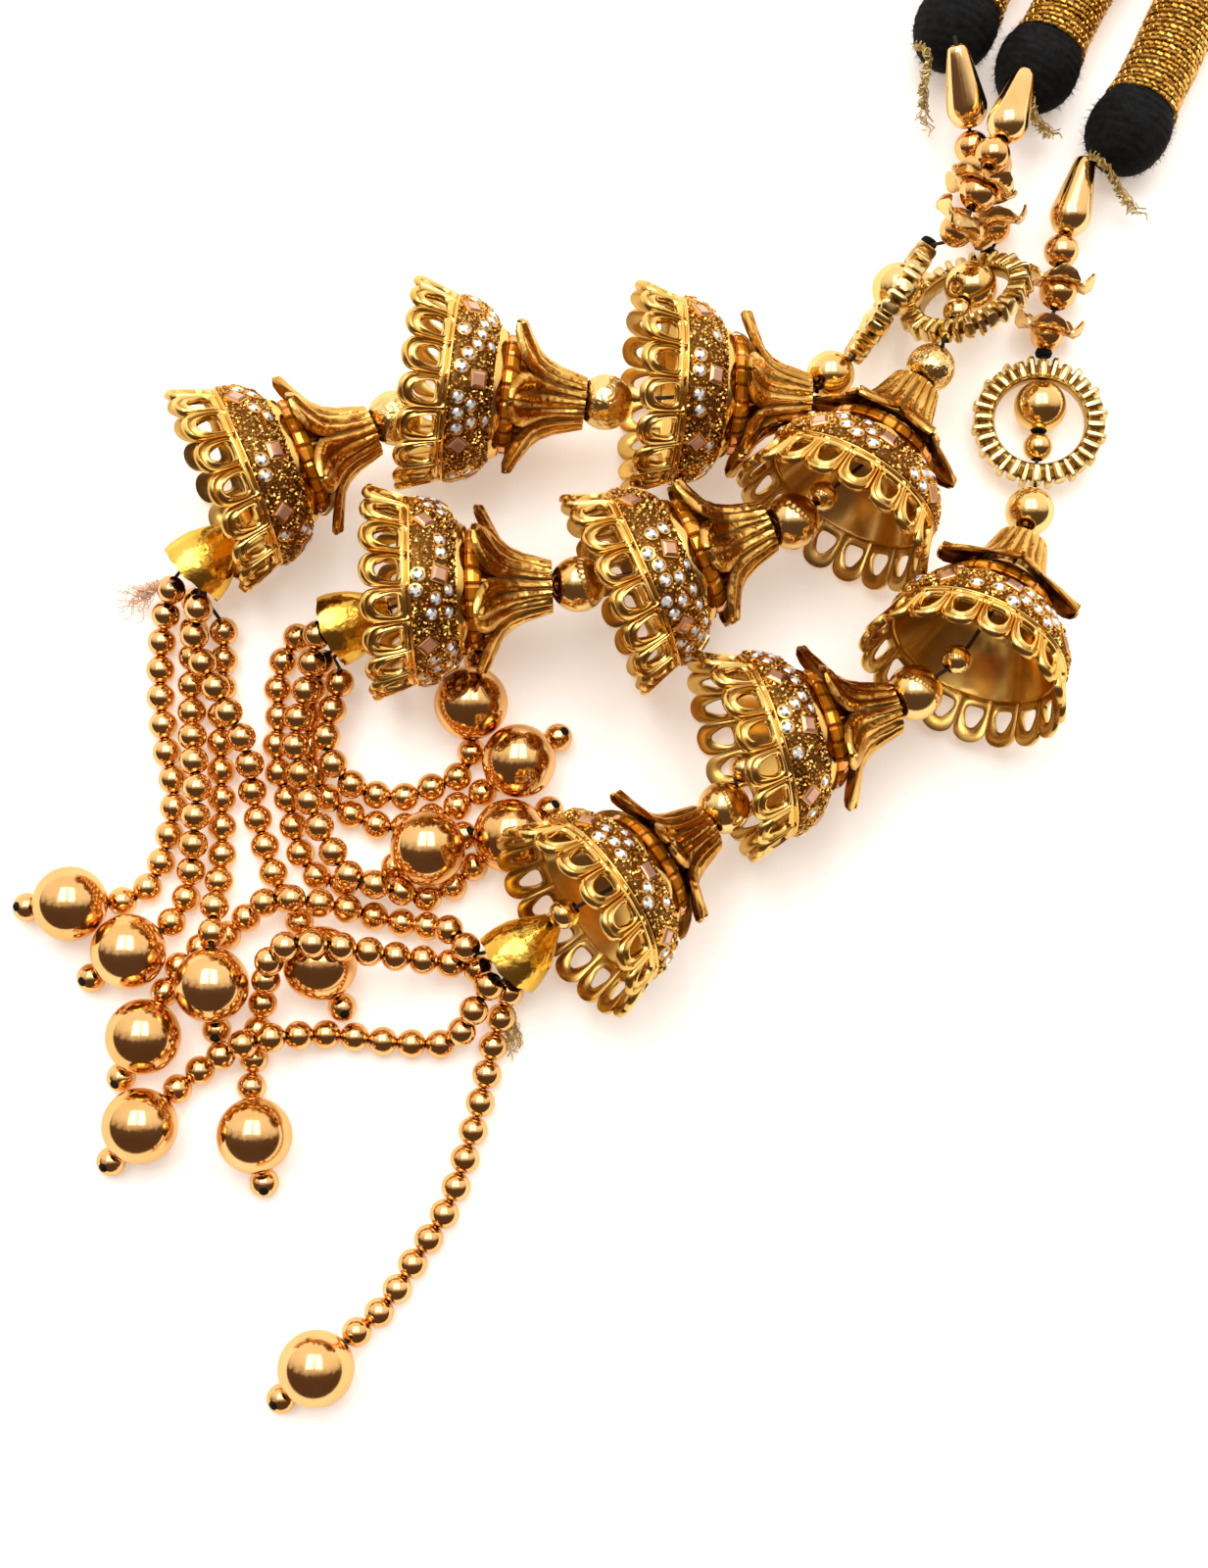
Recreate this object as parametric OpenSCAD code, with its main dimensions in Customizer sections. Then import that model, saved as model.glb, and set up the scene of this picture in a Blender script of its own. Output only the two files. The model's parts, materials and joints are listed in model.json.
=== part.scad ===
// A paranda: three strands of jhumki bells and beaded tassels, worn at the end of a plait.
// It lies on a table. Each strand is threaded from its wound cord down to its tassel.

/* [Strings] */
// Diameter of a bead on a tassel string
bead_d = 3.72; // [3.6:0.02:3.72]
// Distance from one string bead's centre to the next
bead_pitch = 3.82; // [3.82:0.02:3.9]
// Diameter of the large bead that weights a string
weight_d = 10; // [9.6:0.1:10]
// Diameter of the hole through a string bead
bore_d = 1.3; // [1.1:0.1:1.4]
// Diameter of the thread
thread_d = 0.6; // [0.4:0.1:0.6]

/* [Bells] */
// Radius of a bell's mouth at the tips of its scallops
mouth_r = 13.9; // [13.6:0.1:14]
// Thickness of a bell's sheet metal
bell_wall = 0.6; // [0.5:0.1:0.7]
// Number of scallops round a mouth
scallops = 18; // [14:1:20]
// Number of petals on the cap above a bell
petals = 6; // [5:1:7]

/* [Strand fittings] */
// Outer diameter of a ribbed ring
ring_d = 18.5; // [18.2:0.1:18.6]
// Inner diameter of a ribbed ring
ring_bore_d = 12.3; // [12.2:0.1:12.6]
// Number of ribs on a ring
ribs = 32; // [24:2:36]
// Length of a cone drop
drop_len = 11.2; // [10.8:0.1:11.4]
// Radius of a cone drop at its thick end
drop_r = 2.9; // [2.6:0.1:3]

/* [Tassel caps] */
// Radius of a tassel cap's mouth
cap_r = 5; // [4.8:0.1:5.1]
// Length of a tassel cap
cap_len = 8.6; // [8.2:0.2:9]

/* [Cords] */
// Diameter of a tinsel cord
cord_d = 9.8; // [9.4:0.1:9.9]
// Greatest diameter of the black wound end of a cord
tip_d = 12.2; // [11.8:0.1:12.3]
// Length of the black wound end
tip_len = 13.4; // [13:0.1:13.6]

/* [Hidden] */

// The routes below are measured from a mark on the table, and this moves the mark
// so that the frame's origin is under the middle of the whole paranda.
mark = [7.5, 29.9, 0];

// The strands' places in the tables below.
A = 0;
B = 1;
C = 2;

// One row a bell, from the ring to the tassel: x, y and z of the mouth's centre, the heading that
// the mouth faces in degrees, how far it faces upward, and how far the leaf cap is turned.
bells = [
    [[3.4, 51.3, 14.1, 178, 6, 0], [-26.5, 52, 14.1, 174, 3, 20], [-53, 36.8, 14.1, -157, 6, 35]],
    [[29.7, 32.2, 14.1, -121, 9, 30], [-0.5, 22.8, 14.1, -157, -2, 10], [-30.9, 23.4, 14.1, -178, 0, 30]],
    [[46.3, 11, 15.4, -116, 18, 0], [15.2, 1.4, 14.1, -163, 5, 30], [-5.6, -20.5, 16, -145, 16, 0]]];

// One row a fitting between the cord and the ring: x, y, z, what it is, its diameter,
// and for a bead with a flower cap how far the petals are turned.
collars = [
    [[57.6, 96.4, 12.2, "drop", 0, 0],
        [53.9, 86.2, 13.7, "drop end", 0, 0],
        [52.6, 84, 13.8, "plain", 4.8, 0],
        [50.5, 78.5, 14, "capped", 5.2, 0],
        [47.6, 73.6, 13, "capped", 4.6, 0]],
    [[48, 101.6, 12.5, "drop", 0, 0],
        [50.8, 91, 6.6, "drop end", 0, 0],
        [51.1, 88.4, 5.8, "plain", 4.8, 0],
        [52.4, 82.7, 5.7, "capped", 5.2, 36],
        [54, 77.1, 5, "capped", 4.6, 36]],
    [[66.6, 85.9, 6.2, "drop", 0, 0],
        [63.7, 75.9, 5.8, "drop end", 0, 0],
        [63.1, 73.4, 5.8, "plain", 4.8, 0],
        [62.5, 67.6, 5.8, "capped", 5.2, 36],
        [61.1, 62, 4.3, "capped", 4.6, 36]]];

// One row a ring: x, y and z of its centre, then the heading and the rise of its threaded
// diameter towards the cord, and its turn about that diameter.
rings = [[38.8, 64.7, 9.5, 57, 0, 82], [49.5, 66.2, 7.5, 63, -28, 38], [59.8, 49.6, 3.8, 84.5, -3, 4]];
// What lies along a ring's threaded diameter: the distance from its centre, and a bead's diameter.
ring_stops = [[9.6, 0], [2.3, 7.2], [-3.5, 4], [-9.6, 0]];
// One row the bead between a ring and its first bell: x, y, z and diameter.
ring_links = [[30.7, 54.8, 8.8, 6.6], [44.1, 55.3, 10.2, 6.6], [57.7, 36.4, 6.4, 6.6]];

// The beads after each bell of a strand: x, y, z and diameter.
links = [
    [[[0.2, 49.7, 12.8, 7.4]], [[-28, 47.8, 11.9, 7.4]], [[-48.7, 34.8, 10.8, 4]]],
    [[[29.2, 37, 12.2, 4], [24.8, 33, 14.4, 7.4]], [[-3.4, 24.6, 14, 7.4]], []],
    [[[46.6, 15, 11.8, 4], [40.9, 10.5, 11.8, 7.4]], [[18.5, 0.6, 10.6, 4], [15.8, -4.5, 9.8, 7]],
        [[-5.2, -18.6, 10.6, 4]]]];

// One row a tassel cap: x, y and z of its mouth's centre, its heading and its rise.
tassel_caps = [[-55.8, 27.5, 6.6, 225, -8], [-36.7, 19.8, 6.6, 200, -10], [-13, -25.1, 6.4, 222, -12]];

// The strings of each tassel: how many small beads a string has, then the points that it passes,
// hand laid.
strings = [
    [[13, [[-58.6, 25.8, 5.2], [-60.2, 20.4, 2], [-60.3, 12.6, 2], [-59.4, 5, 2], [-58, -2, 2],
         [-59, -9, 2], [-61.4, -14.4, 2], [-65.5, -16.4, 2.4], [-71.5, -16.8, 5], [-77.7, -17, 2],
         [-80.1, -17, 2]]],
     [13, [[-54.4, 22.6, 8], [-55, 18, 6], [-51.6, 11.2, 6.1], [-49.4, 7, 5.7], [-47.8, 3.4, 4.8],
         [-47.3, -2.4, 2.2], [-45.6, -9, 2], [-43.8, -14, 2], [-41.2, -18.2, 2.2], [-37.9, -24.2, 5],
         [-35.2, -29.8, 2], [-34, -32, 2]]],
     [13, [[-55.8, 24.8, 2.2], [-56, 18.2, 2], [-56, 11, 2], [-55.2, 3.4, 4.6], [-54.4, -0.8, 5.6],
         [-54.8, -8, 4.8], [-55.8, -14.2, 2], [-57.2, -18.2, 2], [-61.7, -22.2, 5], [-67.5, -25.8, 2],
         [-69.5, -27, 2]]],
     [12, [[-51.8, 20.6, 2.6], [-51.8, 16, 2], [-51.9, 11, 2], [-51.9, 4, 2], [-51.6, -4, 2],
         [-51.4, -11, 2.4], [-51.8, -17, 4.8], [-51.8, -20.4, 6], [-51.8, -27.6, 6], [-51.6, -33.4, 2],
         [-51.6, -38, 2]]]],
    [[13, [[-41.8, 19.8, 2.4], [-44.2, 15, 2], [-44.1, 8, 2], [-44.4, 3, 2], [-42.6, -2.6, 2],
         [-40.9, -9.6, 2], [-37.8, -13.2, 2], [-31, -13.8, 2], [-27.8, -11.4, 2.6], [-23.3, -9.6, 7.2],
         [-18.6, -7.2, 2], [-16.4, -6.2, 2]]],
     [15, [[-38.4, 19, 8], [-40, 12, 6], [-41.4, 5, 6], [-39.4, -3, 5.8], [-36.6, -9, 5.6],
         [-33, -13.9, 6], [-29.6, -14.4, 5.9], [-26.2, -15.2, 3.8], [-22.2, -15.5, 2],
         [-17.4, -11.4, 2], [-12.9, -8, 5], [-7, -3.6, 2], [-5, -2.2, 2]]],
     [10, [[-35.6, 13.1, 4.8], [-36.4, 10, 4.8], [-37.3, 6, 5.4], [-35.6, 0.8, 5], [-31.4, -1.6, 2.2],
         [-26.4, -2, 2], [-23, -0.6, 2], [-19.4, 1, 2], [-17.9, 4.3, 2], [-17.9, 10.4, 5],
         [-17.1, 16.8, 2], [-16.6, 19, 2]]],
     [12, [[-38.4, 16.2, 2.4], [-39.8, 10, 2], [-39.8, 4, 2], [-37.8, -1.6, 2], [-34.2, -4.4, 2],
         [-30.6, -5.9, 2], [-27, -6.2, 2], [-20, -3.4, 2], [-16.8, -1.8, 2], [-11.4, 2.4, 5],
         [-6, 6.2, 2], [-4, 7.6, 2]]]],
    [[14, [[-12.6, -28.4, 3.6], [-14.4, -34, 2], [-16.2, -42, 2], [-18, -49, 2], [-20.6, -56.6, 2],
         [-24.6, -63, 2], [-28.4, -69, 2], [-31.4, -71.8, 2], [-36, -76, 5], [-41.4, -80.6, 2],
         [-43.4, -82.4, 2]]],
     [14, [[-15.2, -27.8, 6.8], [-17.6, -31.6, 5.8], [-20.6, -35, 2.4], [-28, -35, 2], [-36, -34, 2],
         [-42.8, -34.4, 5.2], [-46.2, -35, 6.1], [-50, -36.4, 4.2], [-55.8, -40.4, 2], [-60, -45, 5],
         [-64.6, -50, 2], [-66.4, -52, 2]]],
     [14, [[-16.8, -25.3, 3.4], [-20.3, -24.7, 4.6], [-27, -24, 7.4], [-33.8, -23, 10.8],
         [-38, -22.6, 12.2], [-41.2, -22.8, 11.4], [-43.8, -24.6, 9], [-45, -28.6, 4.4],
         [-46.2, -34.2, 2], [-46.8, -40.6, 2], [-46, -46.4, 5], [-45, -52.6, 2], [-44.8, -55, 2]]],
     [14, [[-18.2, -22.7, 7.6], [-20, -20.6, 6.6], [-22, -20, 4.4], [-28.6, -18.8, 2],
         [-35.6, -17.1, 4.5], [-42.8, -16.2, 6.3], [-46.4, -17.4, 4.4], [-50, -20.4, 2],
         [-55.5, -23.4, 2], [-58.2, -27.5, 2], [-60.6, -34, 5], [-64, -39.4, 2], [-65.2, -41.4, 2]]]]];

// A cord's route from its black wound end to its own end past the binding, hand laid.
cord_a_route = [[63.2, 105.2, 5.6], [67, 112.4, 5], [72.4, 121, 5], [77.3, 128.9, 5.8], [81, 136, 5.8]];
cord_b_route = [[52, 111.3, 5.6], [55.2, 117.5, 5.4], [60.2, 124.2, 5.4], [65.6, 129, 5.6],
    [69.1, 135.3, 5.8], [71.9, 140.7, 5.8]];
cord_c_route = [[75.7, 96.2, 5.6], [79.4, 103.6, 5], [84, 114, 5], [86.3, 124.2, 5.8], [90, 131.3, 5.8]];
// One row a cord's wound end: x, y and z of its middle, and its heading up the cord.
tips = [[60.4, 99.8, 6.2, 62.5], [49.2, 105.9, 6.2, 62.5], [72.9, 90.8, 6.2, 62.5]];
// The binding's place, heading, length along the cords, wall and slack, and the cords' spacing in it.
binding_at = [78.2, 130.6, 5.9];
binding_turn = 62.5;
binding_len = 5;
binding_wall = 0.6;
binding_slack = 0.6;
cord_gap = 10.2;

thread_r = thread_d / 2;
// Clearance between pieces that meet.
gap = 0.15;
// Sides of a thread and of a cord where they are swept.
thread_sides = 6;
cord_sides = 12;
// How far the middle of a string's large bead lies from the small bead before it.
weight_step = (bead_d + weight_d) / 2 + 0.1;
// How far up a tassel cap its threads are knotted, and the knot's radius.
knot_up = 5;
knot_r = 0.9;
// Distances along a bell's axis from the mouth: inside the dome, and at the top of the leaf cap.
dome_at = 12;
neck_at = 24;
// How far a thread stays straight to each side of a bead's middle, as a part of its diameter.
straight = 0.47;

bead_rose = "#d08a52";
gold = "#d9a441";
pale_gold = "#e6cf8a";
antique = "#c9952f";
black = "#1b1b1d";

// Geometry of routes.
function unit(v) = v / norm(v);
function spline(a, b, c, d, t) = 0.5 * (2 * b + (c - a) * t + (2 * a - 5 * b + 4 * c - d) * t * t
    + (3 * b - a - 3 * c + d) * t * t * t);
function smooth(route, steps) = let (last = len(route) - 1) concat(
    [for (i = [0:last - 1], k = [0:steps - 1])
        spline(route[max(i - 1, 0)], route[i], route[i + 1], route[min(i + 2, last)], k / steps)],
    [route[last]]);
// The places along a path at which a chord of each step's length ends, from the path's start.
function walk(path, steps, k = 0, i = 0, p = undef) = let (at = p == undef ? path[0] : p)
    k == len(steps) ? [at]
    : let (j = [for (m = [i + 1:len(path) - 1]) if (norm(path[m] - at) >= steps[k]) m][0],
        a = norm(path[j - 1] - at), b = norm(path[j] - at),
        next = path[j - 1] + (path[j] - path[j - 1]) * (steps[k] - a) / (b - a))
    concat([at], walk(path, steps, k + 1, j - 1, next));
function direction(points, i) = unit(points[min(i + 1, len(points) - 1)] - points[max(i - 1, 0)]);
function heading_vector(heading, rise) = [cos(rise) * cos(heading), cos(rise) * sin(heading), sin(rise)];
function place(row) = [row[0], row[1], row[2]];
function back_from(row, distance) = place(row) - distance * heading_vector(row[3], row[4]);

// Stops are what a thread passes, each [place, what is there, diameter, petal turn].
function through(p) = [p, "thread", 0, 0];
function places(stops) = [for (s = stops) s[0]];

// A string's stops: its small beads, then the large one and the small one that ends it.
function bead_size(count, k) = k == count ? weight_d : bead_d;
function string_stops(row) = let (count = row[0],
    steps = [for (k = [1:count + 1]) k < count ? bead_pitch : weight_step],
    points = walk(smooth(row[1], 10), steps))
    [for (k = [0:count + 1]) let (p = points[k], d = bead_size(count, k))
        [[p[0], p[1], max(p[2], d / 2 + 0.02)], "string", d, 0]];

// A strand's stops, from the drop to the knot inside the tassel cap.
function ring_part(s) = let (ring = rings[s], along = heading_vector(ring[3], ring[4]))
    [for (row = ring_stops) [place(ring) + row[0] * along, row[1] > 0 ? "link" : "thread", row[1], 0]];
function bell_part(bell, beads) = concat([through(back_from(bell, neck_at)), through(back_from(bell, dome_at))],
    [for (row = beads) [place(row), "link", row[3], 0]]);
function knot(cap) = back_from(cap, knot_up);
function strand_stops(s) = concat(
    [for (row = collars[s]) [place(row), row[3], row[4], row[5]]],
    ring_part(s),
    [[place(ring_links[s]), "link", ring_links[s][3], 0]],
    [for (i = [0:2]) each bell_part(bells[s][i], links[s][i])],
    [through(back_from(tassel_caps[s], cap_len + 0.5)), through(knot(tassel_caps[s]))]);

// Where a thread bends out of a tassel cap's mouth towards a string's first bead.
function mouth_exit(cap, bead) = let (axis = heading_vector(cap[3], cap[4]), out = bead - place(cap),
    side = out - (out * axis) * axis) place(cap) + axis + (cap_r - 1.6) * unit(side);
// Everything that a string's thread passes, from the knot to the bead that ends it.
function tassel_stops(s, k) = let (cap = tassel_caps[s], stops = string_stops(strings[s][k]))
    concat([through(knot(cap)), through(mouth_exit(cap, stops[0][0]))], stops);
// A thread's path: straight through each bore, and bent only between the beads.
function thread_path(stops) = let (points = places(stops)) [for (i = [0:len(stops) - 1])
    let (reach = straight * stops[i][2] * direction(points, i))
    each stops[i][2] > 0 ? [points[i] - reach, points[i] + reach] : [points[i]]];

// Turns +Z to a heading and a rise.
module aim(at, heading, rise) {
    translate(at) rotate([0, 90 - rise, heading]) children();
}

// Turns +Z along a vector.
module aim_along(at, v) {
    translate(at) rotate([0, acos(v[2] / norm(v)), atan2(v[1], v[0])]) children();
}

// A tube with flat ends along a path, with one ring of points at each point of the path.
module sweep(path, radius, sides) {
    last = len(path) - 1;
    points = [for (i = [0:last])
        let (t = direction(path, i), u = unit(cross(t, [0.13, 0.21, 1])), v = cross(t, u))
        for (k = [0:sides - 1]) path[i] + radius * (cos(360 * k / sides) * u + sin(360 * k / sides) * v)];
    walls = [for (i = [0:last - 1], k = [0:sides - 1])
        let (a = i * sides + k, b = i * sides + (k + 1) % sides)
        each [[a, a + sides, b], [b, a + sides, b + sides]]];
    start = [for (k = [0:sides - 1]) k];
    end = [for (k = [sides - 1:-1:0]) last * sides + k];
    polyhedron(points, concat(walls, [start, end]), convexity = 6);
}

// Small pieces, drawn along +Z with the cord's side upward where they have one.
module drilled_bead(d, bore) {
    difference() {
        sphere(d = d, $fn = 32);
        cylinder(d = bore, h = d + 1, center = true, $fn = 24);
    }
}

module cone_drop() {
    difference() {
        rotate_extrude($fn = 48) polygon([[0, 0], [1.3, 0], [2.3, 0.9], [drop_r, 2.4], [drop_r - 0.2, 4],
            [1.5, drop_len - 0.6], [1.1, drop_len], [0, drop_len]]);
        translate([0, 0, -1]) cylinder(d = bore_d, h = drop_len + 2, $fn = 24);
    }
}

// A bead cap with five petals that curl back, round the bead at the origin.
module flower_cap(hug) {
    intersection() {
        rotate_extrude($fn = 48) polygon([[1.1, hug], [1.6, hug - 0.3], [2.4, hug - 1.1], [3.6, hug - 1.4],
            [4.9, hug - 0.8], [5.7, hug + 0.2], [5.4, hug + 0.4], [4.6, hug - 0.4], [3.5, hug - 0.9],
            [2.6, hug - 0.7], [1.7, hug + 0.1], [1.1, hug + 0.4]]);
        translate([0, 0, -1]) linear_extrude(8) union() {
            circle(r = 3.3, $fn = 48);
            for (k = [0:4]) rotate(72 * k) translate([3.7, 0]) circle(r = 2.05, $fn = 32);
        }
    }
}

module ribbed_ring() {
    outer = ring_d / 2;
    inner = ring_bore_d / 2;
    half = 1.3;
    groove = 0.3;
    difference() {
        rotate_extrude($fn = 72) polygon([[inner, -half + 0.4], [inner + 0.5, -half], [outer - 0.4, -half],
            [outer, -half + 0.4], [outer, half - 0.4], [outer - 0.4, half], [inner + 0.5, half],
            [inner, half - 0.4]]);
        for (k = [0:ribs - 1]) rotate(360 * (k + 0.5) / ribs)
            translate([inner + 0.5, -groove / 2, half - groove]) cube([outer - inner, groove, 1]);
        rotate([0, 90, 0]) cylinder(d = bore_d, h = ring_d + 2, center = true, $fn = 24);
    }
}

// A bell on its own axis: the tips of the scallops at z = 0 and the dome upward.
module bell_body(pierced) {
    w = bell_wall;
    difference() {
        rotate_extrude($fn = 96) polygon([[mouth_r, 0], [12.7, 3.2], [11.7, 6.1], [8, 12], [8.3, 12.2],
            [8.3, 12.9], [7, 13.1], [6.3, 15.4], [5.6, 16.6], [4.4, 17.8], [0.8, 18.4],
            [0.8, 18.4 - w], [4, 17.2], [5, 16.2], [5.7, 15.2], [6.4, 13.1], [7.4, 12],
            [11.7 - w, 6], [12.7 - w, 3.1], [mouth_r - w, 0]]);
        for (k = [0:scallops - 1]) rotate(360 * (k + 0.5) / scallops) scallop_notch();
        if (pierced) for (k = [0:scallops - 1]) rotate(360 * k / scallops) arch_hole();
    }
}

// The gap between two scallops, cut from the axis outward.
module scallop_notch() {
    translate([9, 0, 0]) rotate([90, 0, 90])
        linear_extrude(6) polygon([[-2, -0.3], [2, -0.3], [1, 0.8], [0, 2.3], [-1, 0.8]]);
}

// The opening in one arch, cut from the axis outward.
module arch_hole() {
    translate([9, 0, 0]) rotate([90, 0, 90])
        linear_extrude(6) polygon([[0, 1.7], [1, 3.4], [0.8, 4.1], [-0.8, 4.1], [-1, 3.4]]);
}

module gem_band() {
    rotate_extrude($fn = 96) polygon([[11.95, 6.2], [12.3, 6.6], [12.2, 7.6], [11.6, 9.1], [10.4, 10.8],
        [8.9, 11.9], [8.25, 11.9]]);
}

module amber_band() {
    rotate_extrude($fn = 96) polygon([[7.2, 13.2], [7.9, 13.3], [7.2, 15.1], [6.6, 15.1]]);
}

// The petalled cap that sits on a bell's dome and carries the bead above.
module leaf_cap() {
    intersection() {
        rotate_extrude($fn = 72) polygon([[11.4, 14.1], [8.6, 15.6], [6.7, 16.6], [4.9, 18.3], [4, 20.4],
            [3, neck_at], [3.5, neck_at], [4.5, 20.6], [5.4, 18.7], [7, 17.1], [8.8, 16.1], [11.4, 14.7]]);
        translate([0, 0, 13]) linear_extrude(12) polygon([for (k = [0:petals - 1]) let (a = 360 * k / petals)
            each [for (corner = [[11, 0], [9.6, 11], [6.2, 180 / petals], [9.6, 360 / petals - 11]])
                corner[0] * [cos(a + corner[1]), sin(a + corner[1])]]]);
    }
}

module tassel_cap() {
    w = 0.6;
    rotate_extrude($fn = 64) polygon([[cap_r, 0], [cap_r, 1], [cap_r - 0.5, 3.4], [3.2, 6],
        [1.9, cap_len - 0.7], [1.5, cap_len], [0.9, cap_len], [1, cap_len - 1], [2.4, 6],
        [cap_r - 0.5 - w, 3.2], [cap_r - w, 1], [cap_r - w, 0]]);
}

// The egg-shaped end of a cord, wound in thread, with the cord's side upward.
module wound_end() {
    half = tip_len / 2;
    rotate_extrude($fn = 48) polygon(concat([[0, -half]],
        [for (a = [-75:15:60]) [tip_d / 2 * cos(a), half * sin(a)]], [[0, half * sin(60)]]));
}

// Pieces and sets of pieces at their places, a strand at a time.
module beads_of(stops, kinds, bore) {
    points = places(stops);
    for (i = [0:len(stops) - 1], kind = kinds) if (stops[i][1] == kind)
        aim_along(points[i], direction(points, i)) drilled_bead(stops[i][2], bore);
}

module collar_beads(s) {
    color(bead_rose) beads_of(strand_stops(s), ["plain", "capped"], bore_d + 0.1);
}

module strand_beads(s) {
    color(gold) beads_of(strand_stops(s), ["link"], bore_d + 0.3);
}

module bead_string(s, k) {
    color(bead_rose) beads_of(tassel_stops(s, k), ["string"], bore_d);
}

module flower_caps(s) {
    stops = strand_stops(s);
    points = places(stops);
    color(bead_rose) for (i = [0:len(stops) - 1]) if (stops[i][1] == "capped")
        aim_along(points[i], -direction(points, i)) rotate(stops[i][3]) flower_cap(stops[i][2] / 2 + gap);
}

module drop(s) {
    top = place(collars[s][0]);
    end = place(collars[s][1]);
    color(bead_rose) aim_along(end, top - end) cone_drop();
}

module ring(s) {
    row = rings[s];
    color(pale_gold) aim(place(row), row[3], row[4]) rotate([row[5], 90, 0]) ribbed_ring();
}

module on_bell(row) {
    aim(place(row), row[3] + 180, -row[4]) children();
}

module bell(s, i) {
    color(gold) on_bell(bells[s][i]) bell_body(pierced = s != C);
}

module leaf_caps(s) {
    color(antique) for (row = bells[s]) on_bell(row) rotate(row[5]) leaf_cap();
}

module gem_bands(s) {
    color("#8a5a22") for (row = bells[s]) on_bell(row) gem_band();
}

module amber_bands(s) {
    color("#c2571a") for (row = bells[s]) on_bell(row) amber_band();
}

module tassel_cap_of(s) {
    row = tassel_caps[s];
    color("#ecc24a") aim(place(row), row[3] + 180, -row[4]) tassel_cap();
}

module threads(s) {
    color("#5a4a38") {
        sweep(thread_path(strand_stops(s)), thread_r, thread_sides);
        translate(knot(tassel_caps[s])) sphere(r = knot_r, $fn = 24);
        for (k = [0:3]) sweep(thread_path(tassel_stops(s, k)), thread_r, thread_sides);
    }
}

module cord(route) {
    color("#c8862b") sweep(smooth(route, 2), cord_d / 2, cord_sides);
}

module cord_tip(s) {
    color(black) aim(place(tips[s]), tips[s][3], 0) wound_end();
}

module top_binding() {
    color(black) aim(binding_at, binding_turn, 0) rotate(90) translate([0, 0, -binding_len / 2])
        linear_extrude(binding_len) difference() {
            slot(cord_d + 2 * binding_wall + binding_slack);
            slot(cord_d + binding_slack);
        }
}

// Half circles of a diameter joined over the cords' spacing.
module slot(d) {
    square([2 * cord_gap, d], center = true);
    for (side = [-1, 1]) translate([side * cord_gap, 0]) circle(d = d, $fn = 48);
}

translate(-mark) {
    cord(cord_a_route);  // cord_a
    cord(cord_b_route);  // cord_b
    cord(cord_c_route);  // cord_c
    top_binding();
    cord_tip(A);  // cord_tip_a
    cord_tip(B);  // cord_tip_b
    cord_tip(C);  // cord_tip_c
    drop(A);  // drop_a
    drop(B);  // drop_b
    drop(C);  // drop_c
    flower_caps(A);  // flower_caps_a
    flower_caps(B);  // flower_caps_b
    flower_caps(C);  // flower_caps_c
    collar_beads(A);  // collar_beads_a
    collar_beads(B);  // collar_beads_b
    collar_beads(C);  // collar_beads_c
    ring(A);  // ring_a
    ring(B);  // ring_b
    ring(C);  // ring_c
    strand_beads(A);  // strand_beads_a
    strand_beads(B);  // strand_beads_b
    strand_beads(C);  // strand_beads_c
    bell(A, 0);  // bell_a1
    bell(A, 1);  // bell_a2
    bell(A, 2);  // bell_a3
    bell(B, 0);  // bell_b1
    bell(B, 1);  // bell_b2
    bell(B, 2);  // bell_b3
    bell(C, 0);  // bell_c1
    bell(C, 1);  // bell_c2
    bell(C, 2);  // bell_c3
    leaf_caps(A);  // leaf_caps_a
    leaf_caps(B);  // leaf_caps_b
    leaf_caps(C);  // leaf_caps_c
    gem_bands(A);  // gem_bands_a
    gem_bands(B);  // gem_bands_b
    gem_bands(C);  // gem_bands_c
    amber_bands(A);  // amber_bands_a
    amber_bands(B);  // amber_bands_b
    amber_bands(C);  // amber_bands_c
    tassel_cap_of(A);  // tassel_cap_a
    tassel_cap_of(B);  // tassel_cap_b
    tassel_cap_of(C);  // tassel_cap_c
    bead_string(A, 0);  // string_a1
    bead_string(A, 1);  // string_a2
    bead_string(A, 2);  // string_a3
    bead_string(A, 3);  // string_a4
    bead_string(B, 0);  // string_b1
    bead_string(B, 1);  // string_b2
    bead_string(B, 2);  // string_b3
    bead_string(B, 3);  // string_b4
    bead_string(C, 0);  // string_c1
    bead_string(C, 1);  // string_c2
    bead_string(C, 2);  // string_c3
    bead_string(C, 3);  // string_c4
    threads(A);  // threads_a
    threads(B);  // threads_b
    threads(C);  // threads_c
}
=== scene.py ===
# %% [markdown]
# A paranda: three strands of bells and beaded tassels that are plaited into the hair.
# The imported CAD model is the fixed frame. Each of its nodes is replaced here by a finished piece
# that follows the same routes and sizes, so the lesson starts by loading that frame.

# %% Load the frame
import json
import math
import random

import bmesh
import bpy
import numpy as np
from mathutils import Matrix, Vector

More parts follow.
